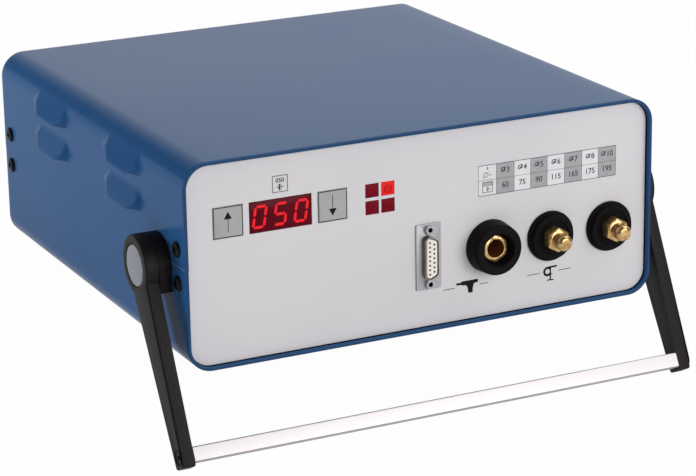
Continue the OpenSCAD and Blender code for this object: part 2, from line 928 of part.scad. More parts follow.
module bar_screw_axis() {
  at_pivot() rotate([-arm_angle, 0, 0]) translate([0, bar_mid_x, -bar_mid_s]) children();
}

module handle_arm() {
  cavity_x = handle_gap + floor_t;
  difference() {
    at_pivot() difference() {
      union() {
        along_x(arm_in, arm_t) rotate(-arm_angle) arm_outline();
        rod_x(handle_gap, 0, 0, trunnion_r, arm_in);
      }
      rod_x(arm_out - recess_depth, 0, 0, button_r + button_gap, recess_depth + overrun);
      rod_x(cavity_x, 0, 0, cavity_r, arm_out - cavity_x);
      rod_x(0, 0, 0, bolt_shoulder_r + running_gap, cavity_x + overrun);
    }
    bar_screw_axis() {
      rod_x(arm_in - overrun, 0, 0, bar_screw_r + shank_gap, arm_t + 2 * overrun);
      rod_x(arm_out - bar_head_h - bar_head_sink, 0, 0, bar_head_r + shank_gap, arm_t);
    }
  }
}

module handle_arm_right() {
  color(black_plastic) stand() handle_arm();
}

module handle_arm_left() {
  color(black_plastic) stand() mirror([1, 0, 0]) handle_arm();
}

module handle_bar() {
  half_l = side_x + arm_in;
  color(alu_light) stand() difference() {
    translate([0, pivot_y, pivot_z]) along_x(-half_l, 2 * half_l) rotate(-arm_angle)
      translate([bar_mid_x, -bar_mid_s]) rounded_rect(bar_depth, bar_h, bar_edge_r);
    both_sides() bar_screw_axis()
      rod_x(arm_in - bar_screw_l, 0, 0, bar_screw_r + thread_gap, bar_screw_l + overrun);
  }
}

module bar_screws() {
  head_x = arm_out - bar_head_h - bar_head_sink;
  shank_x = arm_in - bar_screw_l + overrun;
  color(steel) stand() both_sides() bar_screw_axis() difference() {
    union() {
      rod_x(shank_x, 0, 0, bar_screw_r, head_x - shank_x);
      rod_x(head_x, 0, 0, bar_head_r, bar_head_h);
    }
    translate([head_x + bar_head_h / 2, 0, 0]) rotate([0, 90, 0])
      cylinder(h = bar_head_h, r = bar_socket_r, $fn = 6);
  }
}

module release_button() {
  face_x = arm_out - button_face_t;
  at_pivot() {
    rod_x(face_x, 0, 0, button_r, button_face_t);
    difference() {
      rod_x(face_x - skirt_l, 0, 0, cavity_r - button_gap, skirt_l);
      rod_x(face_x - skirt_l - overrun, 0, 0, cavity_r - button_gap - skirt_t, skirt_l + overrun);
    }
  }
}

module release_button_right() {
  color(button_grey) stand() release_button();
}

module release_button_left() {
  color(button_grey) stand() mirror([1, 0, 0]) release_button();
}

// The spring is one tube along a helix, from the bolt's head to the button's back
spring_x0 = handle_gap + floor_t + button_stop_gap + bolt_head_t + spring_end_gap + spring_wire_r;
spring_x1 = arm_out - button_face_t - spring_end_gap - spring_wire_r;
spring_pitch = (spring_x1 - spring_x0) / spring_turns;
spring_rings = spring_turns * spring_steps;
spring_points = [
  for (i = [0 : spring_rings], k = [0 : spring_sides - 1])
    let (
      turn = i * 360 / spring_steps,
      side = k * 360 / spring_sides,
      r = spring_mean_r + spring_wire_r * cos(side)
    )
      [
        spring_x0 + spring_pitch * i / spring_steps + spring_wire_r * sin(side),
        r * cos(turn),
        r * sin(turn)
      ]
];
spring_faces = [
  for (i = [0 : spring_rings - 1], k = [0 : spring_sides - 1])
    let (a = i * spring_sides + k, b = i * spring_sides + (k + 1) % spring_sides)
      each [[a, b, a + spring_sides], [b, b + spring_sides, a + spring_sides]],
  for (k = [1 : spring_sides - 2]) each [
    [0, k + 1, k],
    [spring_rings * spring_sides, spring_rings * spring_sides + k, spring_rings * spring_sides + k + 1]
  ]
];
spring_gap = min([
  for (k = [0 : spring_sides - 1], m = [0 : spring_sides - 1])
    norm(spring_points[k] - spring_points[spring_steps * spring_sides + m])
]);
echo(spring_gap = spring_gap);

module button_spring() {
  at_pivot() polyhedron(spring_points, spring_faces);
}

module button_spring_right() {
  color(steel) stand() button_spring();
}

module button_spring_left() {
  color(steel) stand() mirror([1, 0, 0]) button_spring();
}

// Front controls

module key_cap(x) {
  cap_y = face_y - key_proud;
  translate([x, 0, control_z]) {
    along_y(cap_y, key_back_y - cap_y) rounded_rect(key_w, key_w, key_edge_r);
    along_y(key_back_y - flange_t, flange_t) square(key_w + 2 * flange_over, center = true);
  }
}

module up_key() {
  color(key_grey) stand() key_cap(up_key_x);
}

module down_key() {
  color(key_grey) stand() key_cap(down_key_x);
}

module display_window() {
  color(window_red) stand() translate([window_x, 0, control_z]) {
    along_y(face_y, plate_back_y - face_y) square([window_w, window_h], center = true);
    along_y(plate_back_y, flange_t)
      square([window_w + 2 * flange_over, window_h + 2 * flange_over], center = true);
  }
}

module digit_display() {
  block_y = plate_back_y + flange_t + digit_gap;
  color(lamp_red) stand() translate([window_x, 0, control_z])
    along_y(block_y, board_y - block_y) square([digit_w, digit_h], center = true);
}

module indicator_lenses() {
  color(lamp_red) stand() for (p = lamp_places) translate([p[0], 0, p[1]]) {
    along_y(face_y, plate_back_y - face_y) square([lamp_w, lamp_h], center = true);
    along_y(plate_back_y, flange_t)
      square([lamp_w + 2 * lens_flange_over, lamp_h + 2 * lens_flange_over], center = true);
  }
}

module indicator_leds() {
  led_y = plate_back_y + flange_t + led_gap;
  color(lamp_red) stand() for (p = lamp_places) {
    rod_y(p[0], led_y, p[1], led_r, board_y - led_y);
    rod_y(p[0], board_y - led_rim_h, p[1], led_r + lens_flange_over, led_rim_h);
  }
}

module display_standoff_places() {
  for (x = [board_left + standoff_inset, board_right - standoff_inset], k = [-1, 1])
    translate([x, 0, control_z + k * (board_h / 2 - standoff_inset)]) children();
}

module display_board() {
  color(board_green) stand() along_y(board_y, board_t)
    translate([board_left, control_z - board_h / 2]) square([board_right - board_left, board_h]);
}

module key_switches() {
  color(black_plastic) stand() for (x = [up_key_x, down_key_x]) translate([x, 0, control_z]) {
    along_y(board_y - switch_h, switch_h) square(switch_w, center = true);
    rod_y(0, plunger_y, 0, plunger_r, plunger_h);
  }
}

module control_standoff_places() {
  for (
    x = [control_x + standoff_inset, control_x + control_w - standoff_inset],
    y = [control_y + standoff_inset, control_y + control_d - standoff_inset]
  ) translate([x, y, floor_z]) children();
}

module board_standoffs() {
  color(zinc) stand() {
    display_standoff_places() rod_y(0, plate_back_y, 0, standoff_r, board_y - plate_back_y);
    control_standoff_places() cylinder(h = control_lift, r = standoff_r);
  }
}

// Remote connector

// The shell's D outline: the long side at the left, corners rounded
module d_outline(grow) {
  r = dsub_corner_r + grow;
  half_w = dsub_depth_w / 2 - dsub_corner_r;
  long_z = dsub_long / 2 - dsub_corner_r;
  short_z = dsub_short / 2 - dsub_corner_r;
  corners = [[-half_w, -long_z], [half_w, -short_z], [half_w, short_z], [-half_w, long_z]];
  slope = atan2(long_z - short_z, 2 * half_w);
  for (c = corners) translate(c) circle(r);
  polygon([
    for (i = [0 : 3], t = [0, 1])
      let (angle = [[180, 270 + slope], [270 + slope, 360], [0, 90 - slope], [90 - slope, 180]][i][t])
        corners[i] + r * [cos(angle), sin(angle)]
  ]);
}

module dsub_shell() {
  flange_y = face_y - dsub_flange_t;
  shell_y = face_y - dsub_shell_h;
  color(zinc) stand() translate([dsub_x, 0, terminal_z]) {
    along_y(flange_y, dsub_flange_t) difference() {
      rounded_rect(dsub_flange_w, dsub_flange_h, dsub_flange_r);
      d_outline(0);
      for (z = jack_zs) translate([0, z - terminal_z]) circle(jack_screw_r + shank_gap);
    }
    along_y(shell_y, flange_y - shell_y) difference() {
      d_outline(dsub_shell_gap + dsub_shell_t);
      d_outline(dsub_shell_gap);
    }
  }
}

module dsub_insulator() {
  front_y = face_y - dsub_shell_h + dsub_shell_t;
  color(insulator_white) stand() translate([dsub_x, 0, terminal_z]) difference() {
    union() {
      along_y(front_y, face_y - front_y) d_outline(-cutout_gap / 2);
      along_y(face_y, dsub_body_l) square([dsub_body_w, dsub_body_h], center = true);
    }
    for (row = [0, 1], k = [0 : dsub_rows[row] - 1])
      rod_y((row - 0.5) * contact_row_pitch, front_y - overrun, (k - (dsub_rows[row] - 1) / 2) * contact_pitch,
        contact_r, contact_depth + overrun, $fn = 16);
  }
}

module dsub_jackscrews() {
  post_y = face_y - dsub_flange_t - jack_h;
  color(zinc) stand() for (z = jack_zs) difference() {
    union() {
      hex_y(dsub_x, post_y, z, hex_r(jack_af), jack_h);
      rod_y(dsub_x, post_y + jack_h, z, jack_screw_r, jack_screw_l);
    }
    rod_y(dsub_x, post_y - overrun, z, jack_bore_r, jack_bore_l + overrun);
  }
}

// Weld terminals

module collar_neck(x) {
  rod_y(x, face_y, terminal_z, neck_r, neck_l);
}

module gun_socket_collar() {
  top_r = gun_collar_r - collar_draft;
  floor_h = gun_collar_h - gun_recess - gun_hex_l;
  color(black_plastic) stand() difference() {
    union() {
      turned_front(gun_x, terminal_z) {
        polygon([
          [0, 0], [gun_collar_r, 0], [top_r, gun_collar_h - collar_edge_r],
          [top_r - collar_edge_r, gun_collar_h], [0, gun_collar_h]
        ]);
        translate([top_r - collar_edge_r, gun_collar_h - collar_edge_r]) circle(collar_edge_r);
      }
      collar_neck(gun_x);
    }
    rod_y(gun_x, face_y - gun_collar_h - overrun, terminal_z, gun_ring_r + thread_gap,
      gun_collar_h + neck_l + 2 * overrun);
    turned_front(gun_x, terminal_z) polygon([
      [0, floor_h], [gun_throat_r, floor_h], [gun_mouth_r, gun_collar_h], [gun_mouth_r, gun_collar_h + overrun],
      [0, gun_collar_h + overrun]
    ]);
  }
}

module gun_socket_insert() {
  ring_h = gun_collar_h - gun_recess;
  floor_h = ring_h - gun_hex_l;
  corner_r = hex_r(gun_hex_af);
  color(brass_gold) stand() difference() {
    union() {
      intersection() {
        hex_y(gun_x, face_y - ring_h, terminal_z, corner_r, gun_hex_l, hex_turn);
        turned_front(gun_x, terminal_z) polygon([
          [0, floor_h - overrun], [corner_r + overrun, floor_h - overrun],
          [corner_r + overrun, ring_h - ring_edge_r - overrun / 2],
          [corner_r - 2 * (ring_edge_r + overrun), ring_h + overrun], [0, ring_h + overrun]
        ]);
      }
      rod_y(gun_x, face_y - floor_h, terminal_z, gun_ring_r, stud_seat_y - face_y + floor_h);
      rod_y(gun_x, stud_seat_y, terminal_z, terminal_stud_r, terminal_stud_l);
    }
    rod_y(gun_x, face_y - ring_h - overrun, terminal_z, gun_bore_r, gun_bore_l + overrun);
    box(gun_x - gun_key_w / 2, face_y - ring_h - overrun, terminal_z, gun_key_w, gun_bore_l + overrun,
      gun_bore_r + gun_key_depth);
  }
}

module ground_collar(x) {
  rim_r = ground_collar_r - ground_step;
  difference() {
    union() {
      turned_front(x, terminal_z) {
        square([ground_collar_r - ground_edge_r, ground_rim_h]);
        square([ground_collar_r, ground_rim_h - ground_edge_r]);
        translate([ground_collar_r - ground_edge_r, ground_rim_h - ground_edge_r]) circle(ground_edge_r);
        square([rim_r, ground_collar_h - ground_edge_r]);
        square([rim_r - ground_edge_r, ground_collar_h]);
        translate([rim_r - ground_edge_r, ground_collar_h - ground_edge_r]) circle(ground_edge_r);
      }
      collar_neck(x);
    }
    turned_front(x, terminal_z) translate([0, ground_collar_h - ground_dish_depth])
      square([ground_dish_r, ground_dish_depth + overrun]);
    rod_y(x, face_y - ground_collar_h, terminal_z, pin_body_r + thread_gap, ground_collar_h + neck_l + overrun);
  }
}

module ground_collar_left() {
  color(black_plastic) stand() ground_collar(ground_left_x);
}

module ground_collar_right() {
  color(black_plastic) stand() ground_collar(terminal_right_x);
}

module ground_pin(x) {
  seat = ground_collar_h - ground_dish_depth;
  hex_top = seat + pin_hex_l;
  body_top = seat + pin_hex_l / 2;
  tip_base = hex_top + pin_groove_l;
  tip = ground_collar_h + pin_l;
  corner_r = hex_r(pin_hex_af);
  intersection() {
    hex_y(x, face_y - hex_top, terminal_z, corner_r, pin_hex_l, hex_turn);
    turned_front(x, terminal_z) polygon([
      [0, seat - overrun], [corner_r + overrun, seat - overrun],
      [corner_r + overrun, hex_top - pin_chamfer - overrun / 2],
      [corner_r - 2 * (pin_chamfer + overrun), hex_top + overrun], [0, hex_top + overrun]
    ]);
  }
  turned_front(x, terminal_z) {
    translate([0, seat]) square([pin_groove_r, pin_hex_l + pin_groove_l]);
    translate([0, tip_base]) square([pin_r, tip - tip_base - pin_tip_round]);
    translate([0, tip_base]) square([pin_r - pin_tip_round, tip - tip_base]);
    intersection() {
      translate([pin_r - pin_tip_round, tip - pin_tip_round]) circle(pin_tip_round);
      translate([0, tip_base]) square([pin_r, tip - tip_base]);
    }
  }
  rod_y(x, face_y - body_top, terminal_z, pin_body_r, stud_seat_y - face_y + body_top);
  rod_y(x, stud_seat_y, terminal_z, terminal_stud_r, terminal_stud_l);
}

module ground_pin_left() {
  color(brass_gold) stand() ground_pin(ground_left_x);
}

module ground_pin_right() {
  color(brass_gold) stand() ground_pin(terminal_right_x);
}

module terminal_nuts() {
  color(zinc) stand() for (x = [gun_x, ground_left_x, terminal_right_x]) {
    difference() {
      hex_y(x, plate_back_y, terminal_z, collar_nut_r, collar_nut_h);
      rod_y(x, plate_back_y - overrun, terminal_z, neck_r + nut_gap, collar_nut_h + 2 * overrun);
    }
    difference() {
      hex_y(x, stud_seat_y + link_t, terminal_z, stud_hex_r, stud_hex_h);
      rod_y(x, stud_seat_y, terminal_z, terminal_stud_r + nut_gap, link_t + stud_hex_h + overrun);
    }
  }
}

// Rear fittings

module at_inlet() {
  translate([inlet_x, 0, inlet_z]) children();
}

module mains_inlet() {
  out_y = rear_face_y + inlet_flange_t;
  color(black_plastic) stand() at_inlet() difference() {
    union() {
      along_y(rear_face_y, inlet_flange_t) rounded_rect(inlet_flange_w, inlet_flange_h, inlet_corner_r);
      along_y(rear_face_y - inlet_body_l, inlet_body_l) square([inlet_body_w, inlet_body_h], center = true);
    }
    along_y(out_y - inlet_cavity_depth, inlet_cavity_depth + overrun)
      rounded_rect(inlet_cavity_w, inlet_cavity_h, inlet_corner_r);
    inlet_pin_places() along_y(rear_face_y - inlet_body_l - overrun, inlet_body_l)
      square([inlet_pin_w, inlet_pin_h], center = true);
  }
}

module inlet_pin_places() {
  for (i = [-1, 0, 1])
    translate([i * inlet_pin_spread, 0, inlet_pin_drop * (i == 0 ? 1 : -1)]) children();
}

module inlet_pins() {
  root_y = rear_face_y + inlet_flange_t - inlet_cavity_depth;
  tab_y = rear_face_y - inlet_body_l - inlet_tab_l;
  color(zinc) stand() at_inlet() inlet_pin_places()
    along_y(tab_y, root_y + inlet_pin_l - tab_y) square([inlet_pin_w, inlet_pin_h], center = true);
}

function switch_body_w() = rocker_w + 2 * (rocker_gap + switch_wall);
function switch_body_h() = rocker_h + 2 * (rocker_swing_gap + switch_wall);

module at_switch() {
  translate([switch_x, rear_face_y, inlet_z]) children();
}

module mains_switch() {
  over = 2 * switch_flange_over;
  color(black_plastic) stand() at_switch() difference() {
    union() {
      along_y(0, switch_flange_t) square([switch_body_w() + over, switch_body_h() + over], center = true);
      along_y(-switch_body_l, switch_body_l) square([switch_body_w(), switch_body_h()], center = true);
      for (k = [-1, 0, 1]) translate([0, 0, k * switch_tab_pitch])
        along_y(-switch_body_l - switch_tab_l, switch_tab_l)
          square([switch_tab_w, switch_tab_t], center = true);
    }
    along_y(-switch_cavity_depth, switch_cavity_depth + switch_flange_t + overrun)
      square([rocker_w + 2 * rocker_gap, rocker_h + 2 * rocker_swing_gap], center = true);
    rod_x(-rocker_w / 2 - rocker_axle_l - overrun, 0, 0, rocker_axle_r + running_gap,
      rocker_w + 2 * (rocker_axle_l + overrun));
  }
}

module mains_rocker() {
  color(black_plastic) stand() at_switch() rotate([-rocker_throw / 2, 0, 0]) {
    along_x(-rocker_w / 2, rocker_w) polygon([
      [-rocker_depth, -rocker_foot_h / 2], [rocker_end_lift, -rocker_h / 2], [rocker_lift, 0],
      [rocker_end_lift, rocker_h / 2], [-rocker_depth, rocker_foot_h / 2]
    ]);
    rod_x(-rocker_w / 2 - rocker_axle_l, 0, 0, rocker_axle_r, rocker_w + 2 * rocker_axle_l);
  }
}

// Inside

module chassis_tray() {
  color(zinc) stand() difference() {
    box(-tray_half_w, tray_front_y, sheet_t, 2 * tray_half_w, tray_back_y - tray_front_y, tray_t);
    foot_places() cylinder(h = floor_z + overrun, r = foot_screw_r + shank_gap);
  }
}

module at_core() {
  translate([core_x, core_y - core_stack / 2, floor_z]) children();
}

module transformer_core() {
  window_h = core_h - 2 * core_leg;
  window_mid = core_leg + core_window_w / 2;
  color(steel) stand() at_core() along_y(0, core_stack) difference() {
    translate([-core_w / 2, 0]) square([core_w, core_h]);
    for (i = [-1, 1]) translate([i * window_mid, core_h / 2])
      square([core_window_w, window_h], center = true);
    for (i = [-1, 1], k = [-1, 1])
      translate([i * (core_w - core_leg) / 2, core_h / 2 + k * (core_h - core_leg) / 2]) circle(strap_bolt_r);
  }
}

module transformer_winding() {
  coil_h = core_h - 2 * (core_leg + winding_gap);
  coil_w = 2 * (core_leg + core_window_w - winding_gap);
  hole_w = 2 * (core_leg + winding_gap);
  color(copper) stand() at_core() translate([0, core_stack / 2, core_leg + winding_gap]) linear_extrude(coil_h)
    difference() {
      rounded_rect(coil_w, core_stack + 2 * winding_over, winding_over / 2);
      square([hole_w, core_stack + 2 * winding_gap], center = true);
    }
}

module transformer_feet() {
  color(zinc) stand() at_core() difference() {
    for (y0 = [-strap_t, core_stack]) box(-core_w / 2, y0, 0, core_w, strap_t, strap_h);
    for (i = [-1, 1]) rod_y(i * (core_w - core_leg) / 2, -strap_t - overrun, core_leg / 2, strap_bolt_r,
      core_stack + 2 * (strap_t + overrun));
  }
  color(zinc) stand() at_core() for (i = [-1, 1])
    box(i * (core_w - core_leg) / 2 - core_leg / 2, core_stack + strap_t, 0, core_leg, strap_foot_l, strap_t);
}

module capacitor_can() {
  difference() {
    rotate_extrude() {
      square([capacitor_r - capacitor_edge_r, capacitor_h]);
      square([capacitor_r, capacitor_h - capacitor_edge_r]);
      translate([capacitor_r - capacitor_edge_r, capacitor_h - capacitor_edge_r]) circle(capacitor_edge_r);
    }
    for (x = boss_offsets) translate([x, 0, capacitor_h - bus_screw_l])
      cylinder(h = bus_screw_l + overrun, r = bus_screw_r + thread_gap);
  }
  for (x = boss_offsets) translate([x, 0, capacitor_h]) difference() {
    cylinder(h = terminal_boss_h, r = terminal_boss_r);
    translate([0, 0, -overrun]) cylinder(h = terminal_boss_h + 2 * overrun, r = bus_screw_r + thread_gap);
  }
}

module capacitors() {
  color(can_blue) stand() for (p = capacitor_places) translate([p[0], p[1], floor_z]) capacitor_can();
}

module capacitor_holder() {
  edge = capacitor_r + holder_over;
  first = capacitor_places[0];
  last = capacitor_places[len(capacitor_places) - 1];
  color(black_plastic) stand() difference() {
    box(first[0] - edge, first[1] - edge, floor_z, last[0] - first[0] + 2 * edge,
      last[1] - first[1] + 2 * edge, holder_h);
    for (p = capacitor_places)
      translate([p[0], p[1], floor_z - overrun])
        cylinder(h = holder_h + 2 * overrun, r = capacitor_r + holder_gap);
  }
}

// Bar strips along the outer terminals, and a plate over the inner ones
module busbars() {
  first = capacitor_places[0];
  last = capacitor_places[len(capacitor_places) - 1];
  strip_y = first[1] - capacitor_r;
  strip_l = last[1] - first[1] + capacitor_r + terminal_boss_r + bar_strip_w / 2;
  inner_x = first[0] + terminal_boss_spread - bar_strip_w / 2;
  color(copper) stand() difference() {
    union() {
      for (x = [first[0] - terminal_boss_spread, last[0] + terminal_boss_spread])
        box(x - bar_strip_w / 2, strip_y, bus_z, bar_strip_w, strip_l, busbar_t);
      box(inner_x, strip_y, bus_z, last[0] - first[0] - 2 * terminal_boss_spread + bar_strip_w, strip_l,
        busbar_t);
    }
    for (p = capacitor_places, x = boss_offsets)
      translate([p[0] + x, p[1], bus_z - overrun])
        cylinder(h = busbar_t + 2 * overrun, r = bus_screw_r + shank_gap);
  }
}

module busbar_screws() {
  color(steel) stand() for (p = capacitor_places, x = boss_offsets)
    translate([p[0] + x, p[1], bus_z + busbar_t]) {
      cylinder(h = bus_head_h, r = bus_head_r, $fn = 6);
      translate([0, 0, -bus_screw_l]) cylinder(h = bus_screw_l, r = bus_screw_r);
    }
}

// Copper straps: gun socket to the switch module, ground pins to the outer strips,
// and a riser from the module to the inner plate
module weld_links() {
  mid_x = (capacitor_places[0][0] + capacitor_places[len(capacitor_places) - 1][0]) / 2;
  top_z = bus_z + busbar_t;
  low_z = terminal_z - link_w / 2;
  left_x = capacitor_places[0][0] - terminal_boss_spread - bar_strip_w / 2;
  right_x = terminal_right_x + link_w / 2;
  finger_y = capacitor_y - capacitor_r + bar_strip_w / 2;
  finger_right_x = capacitor_places[len(capacitor_places) - 1][0] + terminal_boss_spread - bar_strip_w / 2;
  ground_x = ground_left_x - link_w / 2;
  color(copper) stand() difference() {
    union() {
      box(gun_x - link_w / 2, stud_seat_y, low_z, link_w, link_t, module_top_z + link_t - low_z);
      box(gun_x - link_w / 2, stud_seat_y, module_top_z, link_w, sink_y + module_d / 2 - stud_seat_y, link_t);
    }
    rod_y(gun_x, stud_seat_y - overrun, terminal_z, terminal_stud_r + shank_gap, link_t + 2 * overrun);
  }
  color(copper) stand() difference() {
    union() {
      box(ground_x, stud_seat_y, low_z, right_x - ground_x, link_t, top_z + link_t - low_z);
      box(left_x, stud_seat_y, top_z, right_x - left_x, link_w, link_t);
      for (x = [left_x, finger_right_x])
        box(x, stud_seat_y, top_z, bar_strip_w, finger_y - stud_seat_y, link_t);
    }
    for (x = [ground_left_x, terminal_right_x])
      rod_y(x, stud_seat_y - overrun, terminal_z, terminal_stud_r + shank_gap, link_t + 2 * overrun);
  }
  color(copper) stand() {
    box(mid_x - riser_w / 2, sink_y + module_d / 2, module_top_z, riser_w,
      riser_y - sink_y - module_d / 2, link_t);
    box(mid_x - riser_w / 2, riser_y, module_top_z, riser_w, link_t, bus_z + busbar_t - module_top_z);
    box(mid_x - riser_w / 2, riser_y, bus_z, riser_w, capacitor_y - capacitor_r - riser_y, busbar_t);
  }
}

module heatsink() {
  fin_step = (sink_w - sink_fin_t) / (sink_fins - 1);
  color(alu_light) stand() {
    box(sink_x, sink_y, floor_z + sink_h - sink_base_t, sink_w, sink_d, sink_base_t);
    for (i = [0 : sink_fins - 1])
      box(sink_x + i * fin_step, sink_y, floor_z, sink_fin_t, sink_d, sink_h - sink_base_t);
  }
}

module thyristor_module() {
  x0 = sink_x + (sink_w - module_w) / 2;
  z0 = floor_z + sink_h;
  color(black_plastic) stand() {
    box(x0, sink_y, z0, module_w, module_d, module_h / 2);
    box(x0 + module_lid_inset, sink_y + module_lid_inset, z0, module_w - 2 * module_lid_inset,
      module_d - 2 * module_lid_inset, module_h);
  }
}

// The board with its relays along one edge and its chips in a grid
module control_board() {
  top = floor_z + control_lift + board_t;
  relay_w = control_w / 5;
  relay_d = control_d / 6;
  relay_rows = 3;
  chip_w = control_w / 8;
  chip_cols = 3;
  chip_rows = 4;
  color(board_green) stand() {
    box(control_x, control_y, floor_z + control_lift, control_w, control_d, board_t);
    for (k = [0 : relay_rows - 1])
      box(control_x + relay_w / 2, control_y + relay_d * (2 * k + 1 / 2), top, relay_w, relay_d, relay_h);
    for (i = [0 : chip_cols - 1], k = [0 : chip_rows - 1])
      box(control_x + 2 * relay_w + 2 * i * chip_w, control_y + relay_d * (1 + k), top, chip_w, chip_w, chip_h);
  }
}

module discharge_resistor() {
  fin_step = resistor_w / (2 * resistor_fins - 1);
  color(brass_gold) stand() difference() {
    box(resistor_x, resistor_y, floor_z, resistor_w, resistor_l, resistor_h);
    for (i = [0 : resistor_fins - 2])
      box(resistor_x + (2 * i + 1) * fin_step, resistor_y - overrun,
        floor_z + resistor_h - resistor_fin_depth, fin_step, resistor_l + 2 * overrun,
        resistor_fin_depth + overrun);
  }
}

upper_shell();
lower_shell();
front_plate();
front_foil();
rear_panel();
front_brackets();
rear_brackets();
case_screws();
panel_nuts();
rubber_feet();
foot_screws();
hub_base_left();
hub_base_right();
base_screws();
backing_plates();
pivot_bolts();
handle_arm_left();
handle_arm_right();
handle_bar();
bar_screws();
release_button_left();
release_button_right();
button_spring_left();
button_spring_right();
up_key();
down_key();
display_window();
digit_display();
indicator_lenses();
indicator_leds();
display_board();
key_switches();
board_standoffs();
dsub_shell();
dsub_insulator();
dsub_jackscrews();
gun_socket_collar();
gun_socket_insert();
ground_collar_left();
ground_collar_right();
ground_pin_left();
ground_pin_right();
terminal_nuts();
mains_inlet();
inlet_pins();
mains_switch();
mains_rocker();
chassis_tray();
transformer_core();
transformer_winding();
transformer_feet();
capacitors();
capacitor_holder();
busbars();
busbar_screws();
weld_links();
heatsink();
thyristor_module();
control_board();
discharge_resistor();
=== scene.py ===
# %% [markdown]
# # Dressing a stud welder
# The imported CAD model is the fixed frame: its solids carry the real sizes and the joints. This lesson gives each
# solid the softer edges, the pressed louvres, the print and the finishes of the real object. Pieces that only need
# a finish keep their CAD mesh, and pieces that need more shape are made again here and replace theirs.

# %% Load the frame
import contextlib
import json
import math

import bmesh
import bpy
from mathutils import Matrix, Vector


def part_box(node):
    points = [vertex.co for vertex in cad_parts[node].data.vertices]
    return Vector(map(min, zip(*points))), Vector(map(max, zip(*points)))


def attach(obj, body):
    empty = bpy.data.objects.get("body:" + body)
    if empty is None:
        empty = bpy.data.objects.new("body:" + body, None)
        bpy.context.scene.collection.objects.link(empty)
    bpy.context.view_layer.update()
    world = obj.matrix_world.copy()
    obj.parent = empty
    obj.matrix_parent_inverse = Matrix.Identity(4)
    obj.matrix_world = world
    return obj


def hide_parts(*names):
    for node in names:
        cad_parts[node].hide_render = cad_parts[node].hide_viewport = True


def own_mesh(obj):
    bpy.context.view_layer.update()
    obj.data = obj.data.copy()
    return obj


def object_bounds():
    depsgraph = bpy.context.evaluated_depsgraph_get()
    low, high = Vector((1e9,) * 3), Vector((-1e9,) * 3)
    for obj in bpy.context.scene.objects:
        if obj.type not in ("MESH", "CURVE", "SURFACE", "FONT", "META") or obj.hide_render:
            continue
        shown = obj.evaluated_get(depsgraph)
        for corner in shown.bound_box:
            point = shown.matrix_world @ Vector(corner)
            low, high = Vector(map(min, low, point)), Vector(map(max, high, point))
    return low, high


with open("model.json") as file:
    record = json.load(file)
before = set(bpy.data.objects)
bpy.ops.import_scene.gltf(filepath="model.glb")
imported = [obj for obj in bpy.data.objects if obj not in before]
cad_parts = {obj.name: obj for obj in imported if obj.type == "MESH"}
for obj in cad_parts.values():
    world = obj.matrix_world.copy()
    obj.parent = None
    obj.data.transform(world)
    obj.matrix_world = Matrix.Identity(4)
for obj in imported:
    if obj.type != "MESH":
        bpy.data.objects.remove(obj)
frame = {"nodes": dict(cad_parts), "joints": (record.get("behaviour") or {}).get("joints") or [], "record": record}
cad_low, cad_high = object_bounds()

scene = bpy.context.scene
scene.view_settings.view_transform = "Standard"


def placed(name, data):
    """An object that carries this data, linked to the scene."""
    thing = bpy.data.objects.new(name, data)
    scene.collection.objects.link(thing)
    return thing


print(len(frame["nodes"]), "CAD nodes, box", [round(v, 4) for v in cad_high - cad_low])

# %% [markdown]
# ## The level case frame
# The case leans back, because the swung-down handle props its front up. Drawing is simpler in the case's own level
# frame: millimetres, X to the right, Y from the front edge to the back, Z up from the case bottom. One matrix,
# found from two joints of the record, then stands every mesh up in the frame's metres.

# %% Stand matrix
MM = 0.001
JOINTS = {joint["name"]: joint for joint in frame["joints"]}
press = JOINTS["up_key_press"]["axis"]
LEAN = math.atan2(-press[2], press[1])
PIVOT_Y, PIVOT_Z = 38.0, 57.0
LEAN_TURN = Matrix.Rotation(-LEAN, 4, "X")
hinge = Vector(JOINTS["handle_swing"]["pos_m"])
LEAN_SHIFT = hinge - LEAN_TURN @ (Vector((0, PIVOT_Y, PIVOT_Z)) / 1000)
STAND = Matrix.Translation(LEAN_SHIFT) @ LEAN_TURN @ Matrix.Scale(MM, 4)
UNSTAND = STAND.inverted()
print("lean", round(math.degrees(LEAN), 3), "degrees, shift", [round(v, 5) for v in LEAN_SHIFT])

# %% [markdown]
# ## The camera
# A long lens looks at the left front corner from a little above. The numbers come from fitting a pinhole camera to
# the case's edges in the photograph: where it turns round the case, how far away it is, and its focal length in
# pixels. A camera is set up by its three axes and its place, so no aiming constraint is needed.

# %% Camera
IMAGE_W, SENSOR_W, CLIP_END = 696, 36.0, 100
AIM = Vector((0, 151, 61.5))
AZIMUTH, ELEVATION, ROLL = (math.radians(v) for v in (-25.838, 17.539, -1.045))
FOCAL_PX, OFFSET = 2708.295, Vector((-20.225, -43.237, 1703.835))

back = Vector((math.sin(AZIMUTH) * math.cos(ELEVATION), -math.cos(AZIMUTH) * math.cos(ELEVATION),
               math.sin(ELEVATION)))
level = (-back).cross(Vector((0, 0, 1))).normalized()
above = level.cross(-back)
right = level * math.cos(ROLL) + above * math.sin(ROLL)
upward = above * math.cos(ROLL) - level * math.sin(ROLL)
eye = AIM - (right * OFFSET.x - upward * OFFSET.y - back * OFFSET.z)

lens = bpy.data.cameras.new("photo_lens")
lens.sensor_fit, lens.sensor_width = "HORIZONTAL", SENSOR_W
lens.lens, lens.clip_end = FOCAL_PX / IMAGE_W * SENSOR_W, CLIP_END
camera = placed("photo_camera", lens)
axes = Matrix((right, upward, back)).transposed().to_4x4()
camera.matrix_world = Matrix.Translation(STAND @ eye) @ LEAN_TURN @ axes
scene.camera = camera
print("camera", [round(v, 3) for v in camera.location], "lens", round(lens.lens, 1), "mm")

# %% [markdown]
# ## Building with nodes
# The world, the finishes and the Geometry Nodes trees are all made of nodes. A few helpers make a node, set its
# options, and give each input a value or a link from another node, which keeps the later steps short.

